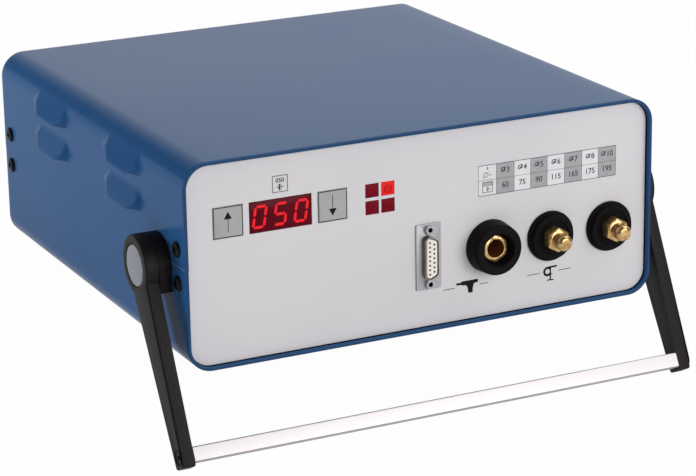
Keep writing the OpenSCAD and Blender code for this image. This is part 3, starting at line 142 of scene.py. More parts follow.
# %% Node helpers
def add_node(tree, kind, inputs=None, **options):
    """A node with its options set; an input gets a value, or a link where a socket is given."""
    node = tree.nodes.new(kind)
    for key, value in options.items():
        setattr(node, key, value)
    for key, value in (inputs or {}).items():
        if isinstance(value, bpy.types.NodeSocket):
            tree.links.new(value, node.inputs[key])
        else:
            node.inputs[key].default_value = value
    return node


def calc(tree, operation, *values):
    """A Math node on numbers or sockets."""
    return add_node(tree, "ShaderNodeMath", dict(enumerate(values)), operation=operation).outputs[0]


def ranged(tree, value, source, target, **options):
    """A Map Range node, which takes a value from one range to another."""
    ends = {"From Min": source[0], "From Max": source[1], "To Min": target[0], "To Max": target[1]}
    return add_node(tree, "ShaderNodeMapRange", {"Value": value, **ends}, **options).outputs["Result"]


def new_finish(name, **sockets):
    """A material with constants on its shader's own sockets; gives the material, its tree and the shader."""
    finish = bpy.data.materials.new(name)
    finish.use_nodes = True
    shader = finish.node_tree.nodes["Principled BSDF"]
    for socket, value in sockets.items():
        shader.inputs[socket.replace("_", " ")].default_value = value
    return finish, finish.node_tree, shader


print("node helpers ready")

# %% [markdown]
# ## Studio light and floor
# The picture has a white ground and soft light: a low softbox behind the left side, one high on the right, a lit
# card on the floor at the left, and a fill in front that keeps the panel even. The camera and reflections see a
# white world and floor. As light on the object, the world counts only for a small part of that white.

# %% Softboxes
def softbox(name, place, aim, size, watts):
    """A rectangular area light at a place, turned to face a point."""
    light = bpy.data.lights.new(name, "AREA")
    light.shape, light.size, light.size_y, light.energy = "RECTANGLE", *size, watts
    lamp = placed(name, light)
    turn = (Vector(place) - Vector(aim)).to_track_quat("Z", "Y")
    lamp.matrix_world = Matrix.Translation(Vector(place)) @ turn.to_matrix().to_4x4()
    return lamp


middle = (cad_low + cad_high) / 2
card = softbox("left_card", (-0.72, 0.12, 0.006), (-0.72, 0.12, 1.0), (1.0, 1.1), 1.5)
card.visible_camera = card.visible_glossy = False
softbox("left_softbox", (-1.5, 1.3, 0.2), middle, (0.7, 0.4), 19).visible_glossy = False
softbox("top_softbox", (1.1, 0.0, 1.5), middle, (1.4, 1.2), 12.5)
softbox("front_fill", (0.65, -1.95, 0.85), middle, (1.8, 1.4), 29.5)
print("three softboxes and a card")

# %% World
BOARD_WAY, BOARD_EDGE, BOARD_GLOW = Vector((0.62, 0.78, 0.1)), (0.55, 0.9), (-0.12, 0.95)
BASE_GLOW, SEEN_GLOW = 0.22, 0.78


def weighted(tree, rays):
    """One socket that adds up how much each kind of ray sees of the white ground."""
    path, total = add_node(tree, "ShaderNodeLightPath"), 0.0
    for ray, share in rays.items():
        total = calc(tree, "MULTIPLY_ADD", path.outputs[ray], share, total)
    return total


world = bpy.data.worlds.new("studio")
world.use_nodes = True
scene.world = world
sky = world.node_tree
direction = add_node(sky, "ShaderNodeTexCoord").outputs["Generated"]
towards = add_node(sky, "ShaderNodeVectorMath", {0: direction, 1: BOARD_WAY.normalized()}, operation="DOT_PRODUCT")
board = ranged(sky, towards.outputs["Value"], BOARD_EDGE, BOARD_GLOW, interpolation_type="SMOOTHSTEP")
seen = weighted(sky, {"Is Camera Ray": SEEN_GLOW, "Is Transmission Ray": SEEN_GLOW, "Is Glossy Ray": board})
ground = sky.nodes["Background"]
ground.inputs["Color"].default_value = (1, 1, 1, 1)
sky.links.new(calc(sky, "ADD", seen, BASE_GLOW), ground.inputs["Strength"])
print("white ground, with a pale board behind the right")

# %% Floor
REACH, PAPER_TONE = 6, (0.88, 0.88, 0.88, 1)
PAPER_SEEN = {"Is Camera Ray": 0.98, "Is Glossy Ray": 0.55, "Is Transmission Ray": 0.95}
floor_mesh = bpy.data.meshes.new("floor")
floor_mesh.from_pydata([(x * REACH, y * REACH, 0) for x, y in ((-1, -1), (1, -1), (1, 1), (-1, 1))], [], [(0, 1, 2, 3)])
floor = placed("floor", floor_mesh)
paper, sheet, matt = new_finish("floor_paper", Base_Color=PAPER_TONE, Roughness=1.0, Specular_IOR_Level=0.0)
bright = add_node(sheet, "ShaderNodeEmission", {"Strength": 1.0}).outputs[0]
both = add_node(sheet, "ShaderNodeMixShader", {0: weighted(sheet, PAPER_SEEN), 1: matt.outputs[0], 2: bright})
sheet.links.new(both.outputs[0], sheet.nodes["Material Output"].inputs["Surface"])
floor_mesh.materials.append(paper)
print("floor")

# %% [markdown]
# ## Finishes
# Every finish is a small node tree on Object coordinates, which are the frame's metres, so a grain has the same
# size on every piece. A noise changes the colour and the roughness a little, and a finer one raises a bump. The
# numbers that are the same all over a surface stay on the shader's own sockets.

# %% Tools for finishes
FINISH = {}
NOISE_SPREAD, TONE_DETAIL, FINE_DETAIL, MICRO = (0.3, 0.7), 3.0, 2.0, 1e6
EVEN = (1, 1, 1)


def linear(red, green, blue):
    """A colour picked from a picture, 0 to 255, as the linear numbers that shaders use."""
    share = [v / 255 for v in (red, green, blue)]
    return tuple(v / 12.92 if v <= 0.04045 else ((v + 0.055) / 1.055) ** 2.4 for v in share) + (1,)


def grain(tree, scale, detail=FINE_DETAIL, stretch=EVEN):
    """Noise on Object coordinates; scale is in grains per metre."""
    place = add_node(tree, "ShaderNodeTexCoord").outputs["Object"]
    mapped = add_node(tree, "ShaderNodeMapping", {"Vector": place, "Scale": stretch}).outputs[0]
    return add_node(tree, "ShaderNodeTexNoise", {"Vector": mapped, "Scale": scale, "Detail": detail}).outputs[0]


def tint(tree, shader, factor, low, high, socket="Base Color"):
    """Colour between two tones along a noise."""
    ramp = add_node(tree, "ShaderNodeValToRGB", {0: factor})
    for stop, position, tone in zip(ramp.color_ramp.elements, NOISE_SPREAD, (low, high)):
        stop.position, stop.color = position, linear(*tone)
    tree.links.new(ramp.outputs[0], shader.inputs[socket])


def mottled(name, low, high, tone_scale, rough, bump, spec=0.5, metal=0.0, stretch=EVEN):
    """The usual finish: two close tones, a roughness range, and a relief of (grains, strength, micrometres)."""
    FINISH[name], tree, shader = new_finish(name, Specular_IOR_Level=spec, Metallic=metal)
    tone = grain(tree, tone_scale, TONE_DETAIL, stretch)
    tint(tree, shader, tone, low, high)
    tree.links.new(ranged(tree, tone, NOISE_SPREAD, rough), shader.inputs["Roughness"])
    bump_scale, strength, depth = bump
    raised = add_node(tree, "ShaderNodeBump", {
        "Strength": strength, "Distance": depth / MICRO, "Height": grain(tree, bump_scale, FINE_DETAIL, stretch)})
    tree.links.new(raised.outputs[0], shader.inputs["Normal"])


def lit(name, edge, colour, strength):
    """A lamp or a digit that glows: the emission falls a little with a noise, as through a diffuser."""
    FINISH[name], tree, shader = new_finish(name, Roughness=0.3, Emission_Strength=strength, Specular_IOR_Level=0.15)
    tint(tree, shader, grain(tree, 260), edge, colour, socket="Emission Color")
    tint(tree, shader, grain(tree, 90), (40, 0, 4), (48, 0, 6))


print("finish tools ready")

# %% [markdown]
# ## The finishes themselves
# The case has a satin blue enamel with a faint orange peel. The panel is a screen-printed foil, the arms a fine
# grained black coat, the bar pale anodised aluminium drawn along its length, and the contacts turned brass. Inner
# pieces get their own finishes too, since the object may be opened in another scene.

# %% Outer finishes
DRAWN = (0.04, 1, 1)
mottled("blue_enamel", (38, 84, 134), (42, 88, 138), 9, (0.17, 0.23), (1400, 0.06, 30), spec=0.048)
# Painted shade: a darker copy of the enamel for the sheet's front and back edges, which are the same enamel.
mottled("blue_rim", (33, 66, 103), (38, 71, 108), 60, (0.36, 0.44), (1400, 0.10, 30), spec=0.08)
# Painted shade: a near-black copy of the enamel for the shells' inner faces, which are the same enamel in the real
# case.
mottled("blue_inside", (14, 24, 38), (18, 30, 46), 40, (0.5, 0.6), (1400, 0.12, 40), spec=0.03)
mottled("panel_foil", (206, 204, 207), (211, 208, 211), 14, (0.46, 0.54), (2600, 0.10, 30), spec=0.2)
mottled("black_coat", (22, 19, 21), (35, 30, 30), 600, (0.4, 0.52), (1500, 0.35, 80), spec=0.13)
mottled("bar_anodised", (239, 233, 236), (245, 239, 241), 60, (0.34, 0.42), (900, 0.08, 20), metal=0.15, stretch=DRAWN)
# Painted light in grey: shade on the bar's narrow faces, and the highlight of the seam strips further on.
mottled("bar_edge", (158, 155, 158), (174, 170, 173), 60, (0.36, 0.44), (900, 0.08, 20), metal=0.4, stretch=DRAWN)
mottled("button_plastic", (134, 136, 145), (150, 151, 160), 1500, (0.45, 0.6), (2200, 0.35, 60), spec=0.2)
mottled("key_plastic", (160, 159, 160), (168, 167, 167), 40, (0.42, 0.5), (2400, 0.15, 30), spec=0.2)
# Black plastic of the collars; the same finish is painted shade inside the jack screws' holes.
mottled("collar_plastic", (15, 13, 14), (21, 18, 19), 300, (0.5, 0.6), (1600, 0.25, 60), spec=0.05)
mottled("screw_black", (18, 17, 18), (28, 26, 27), 700, (0.32, 0.44), (2500, 0.2, 30), spec=0.12)
mottled("brass_turned", (176, 136, 84), (222, 188, 132), 420, (0.16, 0.24), (1800, 0.08, 20), metal=0.8)
# Painted shade: a dark brown copy of the brass for the walls down in the gun socket's bore.
mottled("brass_deep", (104, 60, 27), (150, 94, 46), 500, (0.4, 0.5), (1500, 0.2, 40), metal=0.5)
mottled("tinned_steel", (158, 157, 161), (176, 175, 178), 900, (0.36, 0.46), (2000, 0.05, 10), metal=0.3)
# Painted shade: a dark bronze tone for the walls of the connector's tinned shell, which is one plated part.
mottled("shell_bronze", (96, 86, 72), (128, 116, 98), 300, (0.3, 0.42), (2000, 0.08, 20), metal=0.6)
mottled("contact_plastic", (230, 224, 216), (238, 232, 225), 60, (0.4, 0.5), (1500, 0.12, 30), spec=0.2)
# Painted shade: dark discs for the connector's contact holes.
mottled("contact_dark", (62, 52, 46), (82, 70, 62), 700, (0.4, 0.5), (1500, 0.2, 40), spec=0.1)
mottled("rubber_black", (26, 26, 27), (36, 36, 37), 500, (0.7, 0.85), (1400, 0.4, 100), spec=0.1)
print("outer finishes:", len(FINISH))

# %% Inner finishes
ROLLED = (0.05, 1, 1)
mottled("plate_metal", (190, 191, 193), (206, 207, 208), 90, (0.35, 0.45), (900, 0.12, 30), metal=0.8, stretch=ROLLED)
mottled("zinc_plate", (168, 171, 176), (196, 198, 202), 160, (0.3, 0.45), (700, 0.12, 30), metal=0.9)
mottled("steel_grey", (128, 130, 134), (152, 154, 158), 240, (0.35, 0.5), (1200, 0.15, 40), metal=0.9)
mottled("copper_bar", (178, 108, 72), (200, 126, 86), 90, (0.28, 0.42), (900, 0.12, 30), metal=1.0)
mottled("board_lacquer", (24, 84, 50), (34, 100, 60), 500, (0.32, 0.42), (900, 0.15, 50))
mottled("can_sleeve", (34, 42, 78), (42, 50, 88), 60, (0.3, 0.4), (900, 0.12, 40))
mottled("resistor_gold", (184, 142, 66), (200, 158, 80), 120, (0.35, 0.5), (1100, 0.15, 40), metal=0.8)
mottled("black_moulding", (28, 28, 30), (36, 36, 38), 400, (0.5, 0.62), (1500, 0.25, 60))
print("outer and inner finishes:", len(FINISH))

# %% Red finishes and inks
INK_ROUGH, INK_FILM = (0.5, 0.6), (1500, 0.05, 10)
mottled("window_glass", (84, 4, 20), (92, 5, 23), 30, (0.16, 0.22), (900, 0.03, 20), spec=0.06)
mottled("lens_red", (106, 8, 26), (122, 12, 32), 260, (0.24, 0.32), (1200, 0.12, 40), spec=0.05)
lit("digit_glow", (232, 20, 32), (242, 26, 36), 1.0)
lit("lamp_glow", (226, 18, 22), (238, 24, 26), 0.92)
mottled("ink_black", (22, 22, 24), (30, 30, 32), 500, INK_ROUGH, INK_FILM, spec=0.05)
mottled("ink_grey", (160, 158, 161), (168, 166, 169), 300, INK_ROUGH, INK_FILM, spec=0.1)
mottled("ink_fine", (62, 60, 64), (74, 72, 76), 300, INK_ROUGH, INK_FILM, spec=0.05)
mottled("ink_white", (216, 215, 218), (222, 221, 224), 200, INK_ROUGH, INK_FILM, spec=0.15)
mottled("ink_red", (120, 8, 18), (134, 12, 22), 300, INK_ROUGH, INK_FILM, spec=0.05)
print("all finishes:", len(FINISH))

# %% [markdown]
# ## Making a piece
# Each new piece is one mesh at the origin with its place in its points. A modifier is turned into plain mesh
# as soon as it has done its work, and only then is the piece tied to its body and its CAD node hidden. Two ways recur:
# drawing in case millimetres, and taking a copy of a CAD solid whose edges only need softening.

# %% Tools for pieces
def settle(piece):
    """The evaluated shape becomes the piece's own mesh and the modifiers go."""
    bpy.context.view_layer.update()
    shape = bpy.data.meshes.new_from_object(piece.evaluated_get(bpy.context.evaluated_depsgraph_get()))
    drawn_mesh = piece.data
    piece.modifiers.clear()
    piece.data = shape
    bpy.data.meshes.remove(drawn_mesh)
    shape.name = piece.name
    return piece


def shade(piece, degrees=35):
    """Smooth faces that break at edges sharper than this."""
    piece.data.polygons.foreach_set("use_smooth", [True] * len(piece.data.polygons))
    piece.data.set_sharp_from_angle(angle=math.radians(degrees))
    return piece


def linked(name, mesh, finish):
    """A mesh as a piece of the scene, with one finish."""
    mesh.materials.clear()
    mesh.materials.append(FINISH[finish])
    return placed(name, mesh)


def drawn(name, points, faces, finish):
    """A piece drawn in case millimetres, stood up in the frame."""
    mesh = bpy.data.meshes.new(name)
    mesh.from_pydata([tuple(p) for p in points], [], faces)
    mesh.transform(STAND)
    mesh.update()
    return linked(name, mesh, finish)


def handed_over(piece, body, slot, *nodes):
    """Ties a finished piece to its body and hides the CAD nodes that it stands for; the slot is not used."""
    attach(piece, body)
    if nodes:
        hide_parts(*nodes)
    return piece


def in_case(face):
    """A face's middle and its direction in case terms."""
    return UNSTAND @ face.center, LEAN_TURN.inverted().to_3x3() @ face.normal


def second_finish(piece, finish, chosen):
    """Another finish on the faces that a test of their middle and direction picks."""
    piece.data.materials.append(FINISH[finish])
    for face in piece.data.polygons:
        if chosen(*in_case(face)):
            face.material_index = len(piece.data.materials) - 1
    return sum(face.material_index > 0 for face in piece.data.polygons)


print("piece tools ready")

# %% Softened copies
SHARP, SAME_POINT, SAME_PLANE = math.radians(30), 2e-6, math.radians(0.4)
WEIGHT = "bevel_weight_edge"


@contextlib.contextmanager
def edited(mesh):
    """The mesh opened for editing, and written back at the end."""
    form = bmesh.new()
    form.from_mesh(mesh)
    yield form
    form.to_mesh(mesh)
    form.free()


def solid_copy(node):
    """A merged copy of a CAD solid with its flat faces joined up again."""
    mesh = frame["nodes"][node].data.copy()
    with edited(mesh) as form:
        bmesh.ops.remove_doubles(form, verts=form.verts, dist=SAME_POINT)
        bmesh.ops.dissolve_limit(form, angle_limit=SAME_PLANE, verts=form.verts, edges=form.edges)
    return mesh


def softened(node, finish, width, body, slot, segments=2, held=None, clamp=True):
    """A CAD solid again, its sharp edges broken by a radius in millimetres, apart from the held ones."""
    piece = linked(node + "_soft", solid_copy(node), finish)
    with edited(piece.data) as form:
        weight = form.edges.layers.float.new(WEIGHT)
        for edge in form.edges:
            stays = held and all(held(UNSTAND @ corner.co) for corner in edge.verts)
            edge[weight] = float(edge.calc_face_angle(0) > SHARP and not stays)
    soft = piece.modifiers.new("soft_edges", "BEVEL")
    soft.width, soft.segments, soft.limit_method = width / 1000, segments, "WEIGHT"
    soft.use_clamp_overlap = clamp
    settle(piece)
    if WEIGHT in piece.data.attributes:
        piece.data.attributes.remove(piece.data.attributes[WEIGHT])
    return handed_over(shade(piece), body, slot, node)


print("softening tools ready")

# %% [markdown]
# ## The pressed louvres
# Each side has four louvres: the sheet is slit along a line and the strip above the slit is pressed out into a hood
# with a straight lip and swelling ends. A model could be sculpted by hand, but the hood follows a rule, so a
# Geometry Nodes tree presses it: each point moves outwards by the smaller of two ramps, one from the top edge to
# the lip and one from the curved end inwards. A smooth minimum gives the soft folds of pressed sheet.

# %% Tree helpers
def new_tree(name, **inputs):
    """A Geometry Nodes tree with named inputs, and the identifier of each input socket."""
    tree = bpy.data.node_groups.new(name, "GeometryNodeTree")
    tree.is_modifier = True
    for way in ("INPUT", "OUTPUT"):
        tree.interface.new_socket("Geometry", in_out=way, socket_type="NodeSocketGeometry")
    sockets = {}
    for key, kind in inputs.items():
        socket = tree.interface.new_socket(key.replace("_", " "), in_out="INPUT", socket_type="NodeSocket" + kind)
        sockets[key] = socket.identifier
    return tree, sockets, tree.nodes.new("NodeGroupInput").outputs, tree.nodes.new("NodeGroupOutput").inputs


def read(tree, name, kind="FLOAT"):
    """The socket of an attribute that the points carry."""
    return add_node(tree, "GeometryNodeInputNamedAttribute", {"Name": name}, data_type=kind).outputs["Attribute"]


def close_tree(tree, geometry, finish, tree_out):
    """Every tree ends in Realize Instances and Set Material."""
    realized = add_node(tree, "GeometryNodeRealizeInstances", {0: geometry}).outputs[0]
    paint = add_node(tree, "GeometryNodeSetMaterial", {"Geometry": realized, "Material": finish})
    tree.links.new(paint.outputs[0], tree_out[0])


def grow(piece, tree, sockets, **values):
    """Runs a tree on a piece, with its inputs set by identifier, and keeps the result."""
    modifier = piece.modifiers.new(tree.name, "NODES")
    modifier.node_group = tree
    for key, value in values.items():
        modifier[sockets[key]] = value
    return settle(piece)


print("tree helpers ready")

# %% Louvre tree
LOUVRE_START, LOUVRE_SWEEP = 0.25, 2.42
louvre_tree, louvre_in, given, tree_out = new_tree(
    "pressed_louvre", Proud="Float", Top_length="Float", Slit_length="Float", Lip_length="Float", Fold="Float",
    Finish="Material")


def maths(operation, *values):
    return calc(louvre_tree, operation, *values)


half_top, half_slit, half_lip = (maths("DIVIDE", given[key + " length"], 2.0) for key in ("Top", "Slit", "Lip"))
swell = maths("SINE", maths("MULTIPLY_ADD", read(louvre_tree, "louvre_drop"), LOUVRE_SWEEP, LOUVRE_START))
end_line = maths("MULTIPLY_ADD", maths("SUBTRACT", half_slit, half_top), swell, half_top)
from_end = maths("SUBTRACT", end_line, maths("ABSOLUTE", read(louvre_tree, "louvre_across")))
end_ramp = maths("DIVIDE", from_end, maths("SUBTRACT", half_slit, half_lip))
hood = maths("SMOOTH_MIN", read(louvre_tree, "louvre_fall"), end_ramp, given["Fold"])
proud = maths("MULTIPLY", maths("MAXIMUM", hood, 0.0), given["Proud"])
height = maths("MULTIPLY", proud, read(louvre_tree, "louvre_here"))
outward = read(louvre_tree, "outward", "FLOAT_VECTOR")
push = add_node(louvre_tree, "ShaderNodeVectorMath", {0: outward, "Scale": height}, operation="SCALE").outputs[0]
pressed = add_node(louvre_tree, "GeometryNodeSetPosition", {"Geometry": given[0], "Offset": push}).outputs[0]
close_tree(louvre_tree, pressed, given["Finish"], tree_out)
print("louvre tree:", len(louvre_tree.nodes), "nodes")

# %% [markdown]
# ## The two bent shells
# Upper and lower shell are U-shaped sheets, bent over a 15 mm radius, that meet at a hair-wide seam half way up.
# The skin is a grid: its rows run round the U and its columns from front to back, closer together where a louvre
# is pressed. The grid is cut open along each slit, the tree presses the hoods, and Solidify gives the sheet its
# 2 mm inwards.

# %% Case skin
CASE_W, CASE_H, CASE_D, SHEET, BEND = 305.0, 123.0, 302.0, 2.0, 15.0
SEAM_Z, SEAM_GAP, RIM_DEPTH, TOUCH = 61.5, 0.06, 2.5, 0.01
LOUVRE_YS, LOUVRE_TOPS = (89.5, 208.5), (113.5, 92.2)
LOUVRE_H, LOUVRE_PROUD, LOUVRE_TOP, LOUVRE_SLIT, LOUVRE_LIP, LOUVRE_FOLD = 12.5, 6.0, 40.0, 56.0, 38.0, 0.1
LOUVRE_MOUTH = LOUVRE_TOP + (LOUVRE_SLIT - LOUVRE_TOP) * math.sin(LOUVRE_START + LOUVRE_SWEEP)
PLAIN_STEP, CROWN_STEP, OPEN_STEP, LOUVRE_STEP, SIDE_STEP, BEND_TURNS = 12, 15, 6.0, 1.5, 1.3, 12


def steps(low, high, size):
    """Even steps of about a size from low up to, but without, high."""
    count = max(1, round((high - low) / size))
    return [low + (high - low) * k / count for k in range(count)]


def depth_columns(louvred):
    """Where the grid has its columns from front to back."""
    ends = [CASE_D - RIM_DEPTH, CASE_D]
    if not louvred:
        return [0.0] + steps(RIM_DEPTH, CASE_D - RIM_DEPTH, PLAIN_STEP) + ends
    marks, ys = [RIM_DEPTH], [0.0]
    for y in LOUVRE_YS:
        marks += [y - LOUVRE_SLIT / 2, y + LOUVRE_SLIT / 2]
    marks.append(CASE_D - RIM_DEPTH)
    for k in range(len(marks) - 1):
        ys += steps(marks[k], marks[k + 1], LOUVRE_STEP if k % 2 else OPEN_STEP)
    return ys + ends


def skin_rows(louvred):
    """Points of the U in the XZ plane from the left seam over the crown to the right one, and the slits' heights."""
    lips = sorted(top - LOUVRE_H for top in LOUVRE_TOPS) if louvred else []
    marks = [SEAM_Z + SEAM_GAP / 2] + lips + [CASE_H - BEND]
    half = []
    for k in range(len(marks) - 1):
        half += [(-CASE_W / 2, z) for z in steps(marks[k], marks[k + 1], SIDE_STEP if louvred else OPEN_STEP)]
    for k in range(BEND_TURNS + 1):
        angle = math.pi / 2 * k / BEND_TURNS
        half.append((-CASE_W / 2 + BEND * (1 - math.cos(angle)), CASE_H - BEND + BEND * math.sin(angle)))
    crown = [(x, CASE_H) for x in steps(-CASE_W / 2 + BEND, CASE_W / 2 - BEND, CROWN_STEP)[1:]]
    return half + crown + [(-x, z) for x, z in reversed(half)], lips


rows, lips = skin_rows(True)
print("skin rows", len(rows), "columns", len(depth_columns(True)), "slits at", lips)


# %% Louvre places on the skin
def louvre_at(x, y, z):
    """For a point of the skin: how far along its louvre, how far down, and how far it is pressed."""
    for middle_y in LOUVRE_YS:
        for top in LOUVRE_TOPS:
            beside = abs(y - middle_y) <= LOUVRE_SLIT / 2 + TOUCH and abs(x) > CASE_W / 2 - BEND / 2
            if beside and top - LOUVRE_H - TOUCH <= z < top:
                down = (top - z) / LOUVRE_H
                tuck = CASE_W / 2 - abs(x)
                rise = max(0.0, top - (CASE_H - BEND))
                tuck_top = BEND - math.sqrt(BEND ** 2 - rise ** 2)
                return y - middle_y, down, ((LOUVRE_PROUD + tuck_top) * down - (tuck_top - tuck)) / LOUVRE_PROUD
    return None


def build_skin(name, louvred, upside_down):
    """The grid as a mesh, open along the slits, with the louvres' attributes on its points."""
    rows, lips = skin_rows(louvred)
    columns = depth_columns(louvred)
    points, marks, upper, lower = [], [], {}, {}
    unpressed = (0.0, 0.0, 0.0, 0.0)
    for r, (x, z) in enumerate(rows):
        for c, y in enumerate(columns):
            spot = louvre_at(x, y, z) if louvred else None
            upper[r, c] = lower[r, c] = len(points)
            points.append((x, y, CASE_H - z if upside_down else z))
            marks.append((*spot, 1.0) if spot else unpressed)
            on_lip = spot and any(abs(z - lip) < TOUCH for lip in lips)
            if on_lip and abs(spot[0]) < LOUVRE_MOUTH / 2:
                lower[r, c] = len(points)
                points.append((x, y, z))
                marks.append(unpressed)
    faces = []
    for r in range(len(rows) - 1):
        climbing = rows[r + 1][1] >= rows[r][1] and rows[r][0] < 0
        near, far = (upper, lower) if climbing else (lower, upper)
        for c in range(len(columns) - 1):
            quad = (near[r, c], near[r, c + 1], far[r + 1, c + 1], far[r + 1, c])
            faces.append(quad if upside_down else quad[::-1])
    skin = drawn(name, points, faces, "blue_enamel")
    for part, key in enumerate(("louvre_across", "louvre_drop", "louvre_fall", "louvre_here")):
        skin.data.attributes.new(key, "FLOAT", "POINT").data.foreach_set("value", [m[part] for m in marks])
    outward = [v for p in points for v in (math.copysign(MM, p[0]), 0.0, 0.0)]
    skin.data.attributes.new("outward", "FLOAT_VECTOR", "POINT").data.foreach_set("vector", outward)
    return skin


upper_skin = build_skin("upper_shell_skin", True, False)
lower_skin = build_skin("lower_shell_skin", False, True)
print("upper skin", len(upper_skin.data.vertices), "points, lower", len(lower_skin.data.vertices))

# %% Press, thicken and hand over the shells
RIM_ROUND, RIM_ANGLE, SEAM_REACH, RIM_FACING = 0.5, math.radians(50), 0.1, 0.6


def broken_rims(mesh):
    """Rounds the sheet's cut edges, apart from the seam, where the two shells meet without a groove."""
    with edited(mesh) as form:
        rims = [e for e in form.edges if e.calc_face_angle(0) > RIM_ANGLE
                and not all(abs((UNSTAND @ v.co).z - SEAM_Z) < SEAM_REACH for v in e.verts)]
        bmesh.ops.bevel(form, geom=rims, offset=RIM_ROUND / 1000, segments=2, profile=0.5, affect="EDGES",
                        clamp_overlap=True)


grow(upper_skin, louvre_tree, louvre_in, Proud=LOUVRE_PROUD, Top_length=LOUVRE_TOP, Slit_length=LOUVRE_SLIT,
     Lip_length=LOUVRE_LIP, Fold=LOUVRE_FOLD, Finish=FINISH["blue_enamel"])
for skin, node in ((upper_skin, "upper_shell"), (lower_skin, "lower_shell")):
    for key in [a.name for a in skin.data.attributes if a.name.startswith("louvre") or a.name == "outward"]:
        skin.data.attributes.remove(skin.data.attributes[key])
    wall = skin.modifiers.new("sheet", "SOLIDIFY")
    wall.thickness, wall.offset, wall.use_even_offset = SHEET / 1000, -1.0, True
    # The inner faces take the near-black painted shade; the enamel is the same inside.
    skin.data.materials.append(FINISH["blue_inside"])
    wall.material_offset = 1
    broken_rims(settle(skin).data)
    # Rim faces that look to the front or back get the darker painted shade; the other faces near those edges, the inner
    # ones too, go back to the plain enamel.
    skin.data.materials.append(FINISH["blue_rim"])
    for face in skin.data.polygons:
        spot, way = in_case(face)
        if min(spot.y, CASE_D - spot.y) < RIM_DEPTH:
            face.material_index = 2 if abs(way.y) > RIM_FACING else 0
    handed_over(shade(skin, 40), "case", "case_paint", node)
    print(skin.name, len(skin.data.polygons), "faces")

# %% [markdown]
# ## Side screws
# Eight black button-head screws hold the shells to the corner brackets. One head is turned from a profile with a
# hexagon socket, and a small tree sets copies of it on marked points, turned to face outwards. The same tree
# serves any small part that repeats.

# %% Repeat tree
repeat_tree, repeat_in, given, tree_out = new_tree("set_on_points", Part="Object", Finish="Material")
part_shape = add_node(repeat_tree, "GeometryNodeObjectInfo", {"Object": given["Part"]}).outputs["Geometry"]
spots = add_node(repeat_tree, "GeometryNodeMeshToPoints", {"Mesh": given[0]}).outputs[0]
facing_way = read(repeat_tree, "facing", "FLOAT_VECTOR")
face_out = add_node(repeat_tree, "FunctionNodeAlignRotationToVector", {"Vector": facing_way}, axis="Z").outputs[0]
copies = add_node(repeat_tree, "GeometryNodeInstanceOnPoints", {
    "Points": spots, "Instance": part_shape, "Rotation": face_out})
close_tree(repeat_tree, copies.outputs[0], given["Finish"], tree_out)


def repeated(name, template, places, finish):
    """Copies of a template, given in metres about its own Z axis, at (place, facing) pairs in case millimetres."""
    carrier = drawn(name, [place for place, facing in places], [], finish)
    ways = [v for place, facing in places for v in LEAN_TURN.to_3x3() @ Vector(facing)]
    carrier.data.attributes.new("facing", "FLOAT_VECTOR", "POINT").data.foreach_set("vector", ways)
    grow(carrier, repeat_tree, repeat_in, Part=template, Finish=FINISH[finish])
    bpy.data.objects.remove(template)
    return shade(carrier, 40)


print("repeat tree:", len(repeat_tree.nodes), "nodes")


# %% A turned template
def turned(name, profile, sides, hexagon_below=0):
    """Turns a closed profile of (radius, height) in millimetres about Z; radii up to a limit become a hexagon."""
    points, faces = [], []
    for radius, high in profile:
        for k in range(sides):
            angle = 2 * math.pi * k / sides
            reach = radius
            if radius <= hexagon_below:
                wedge = (angle + math.pi / 6) % (math.pi / 3) - math.pi / 6
                reach = radius * math.cos(math.pi / 6) / math.cos(wedge)
            points.append((reach * math.cos(angle) * MM, reach * math.sin(angle) * MM, high * MM))
    for ring in range(len(profile) - 1):
        for k in range(sides):
            a, b = ring * sides + k, ring * sides + (k + 1) % sides
            faces.append((a, b, b + sides, a + sides))
    faces.append(tuple(range(sides))[::-1])
    faces.append(tuple(range((len(profile) - 1) * sides, len(profile) * sides)))
    mesh = bpy.data.meshes.new(name)
    mesh.from_pydata(points, [], faces)
    mesh.update()
    return placed(name, mesh)


SCREW_PROFILE = [(2.4, -8), (2.5, -7.7), (2.5, 0), (4.6, 0), (4.75, 0.15), (4.75, 0.6), (4.6, 1.0), (4.2, 1.4),
                 (3.6, 1.7), (2.9, 1.85), (2.3, 1.9), (1.95, 1.9), (1.75, 1.8), (1.7, 0.8), (0.02, 0.7)]
SCREW_SIDES, SCREW_SOCKET, SCREW_YS, SCREW_ZS = 24, 1.95, (11.5, 290.5), (51.3, 71.7)
screw_places = [((side * CASE_W / 2, y, z), (side, 0, 0)) for side in (-1, 1) for y in SCREW_YS for z in SCREW_ZS]
screw_template = turned("side_screw", SCREW_PROFILE, SCREW_SIDES, SCREW_SOCKET)
side_screws = repeated("side_screws", screw_template, screw_places, "screw_black")
handed_over(side_screws, "case", "black_steel", "case_screws")
print("side screws", len(side_screws.data.polygons), "faces")

# %% [markdown]
# ## Handle, hubs and buttons
# The handle is two cast arms on pressed hubs, joined by a pale bar. These solids already have the right shape in
# the CAD model, so each is copied, merged and given a small edge radius, which catches the light along its rims.

# %% Handle pieces
HUB_SEAM, HUB_REACH = CASE_W / 2 + 7.65, 0.3
BORE_RIM, BORE_REACH, BROAD = 167.8, 13.5, 0.93


def beside_hub(point):
    """Edges where a hub base and its arm run together; they stay sharp, so no groove shows."""
    return abs(abs(point.x) - HUB_SEAM) < HUB_REACH


def inside_hub(point):
    """Edges down in a button's bore stay sharp too, so the button has its whole stroke."""
    deep = abs(point.x) < BORE_RIM and math.hypot(point.y - PIVOT_Y, point.z - PIVOT_Z) < BORE_REACH
    return deep or beside_hub(point)


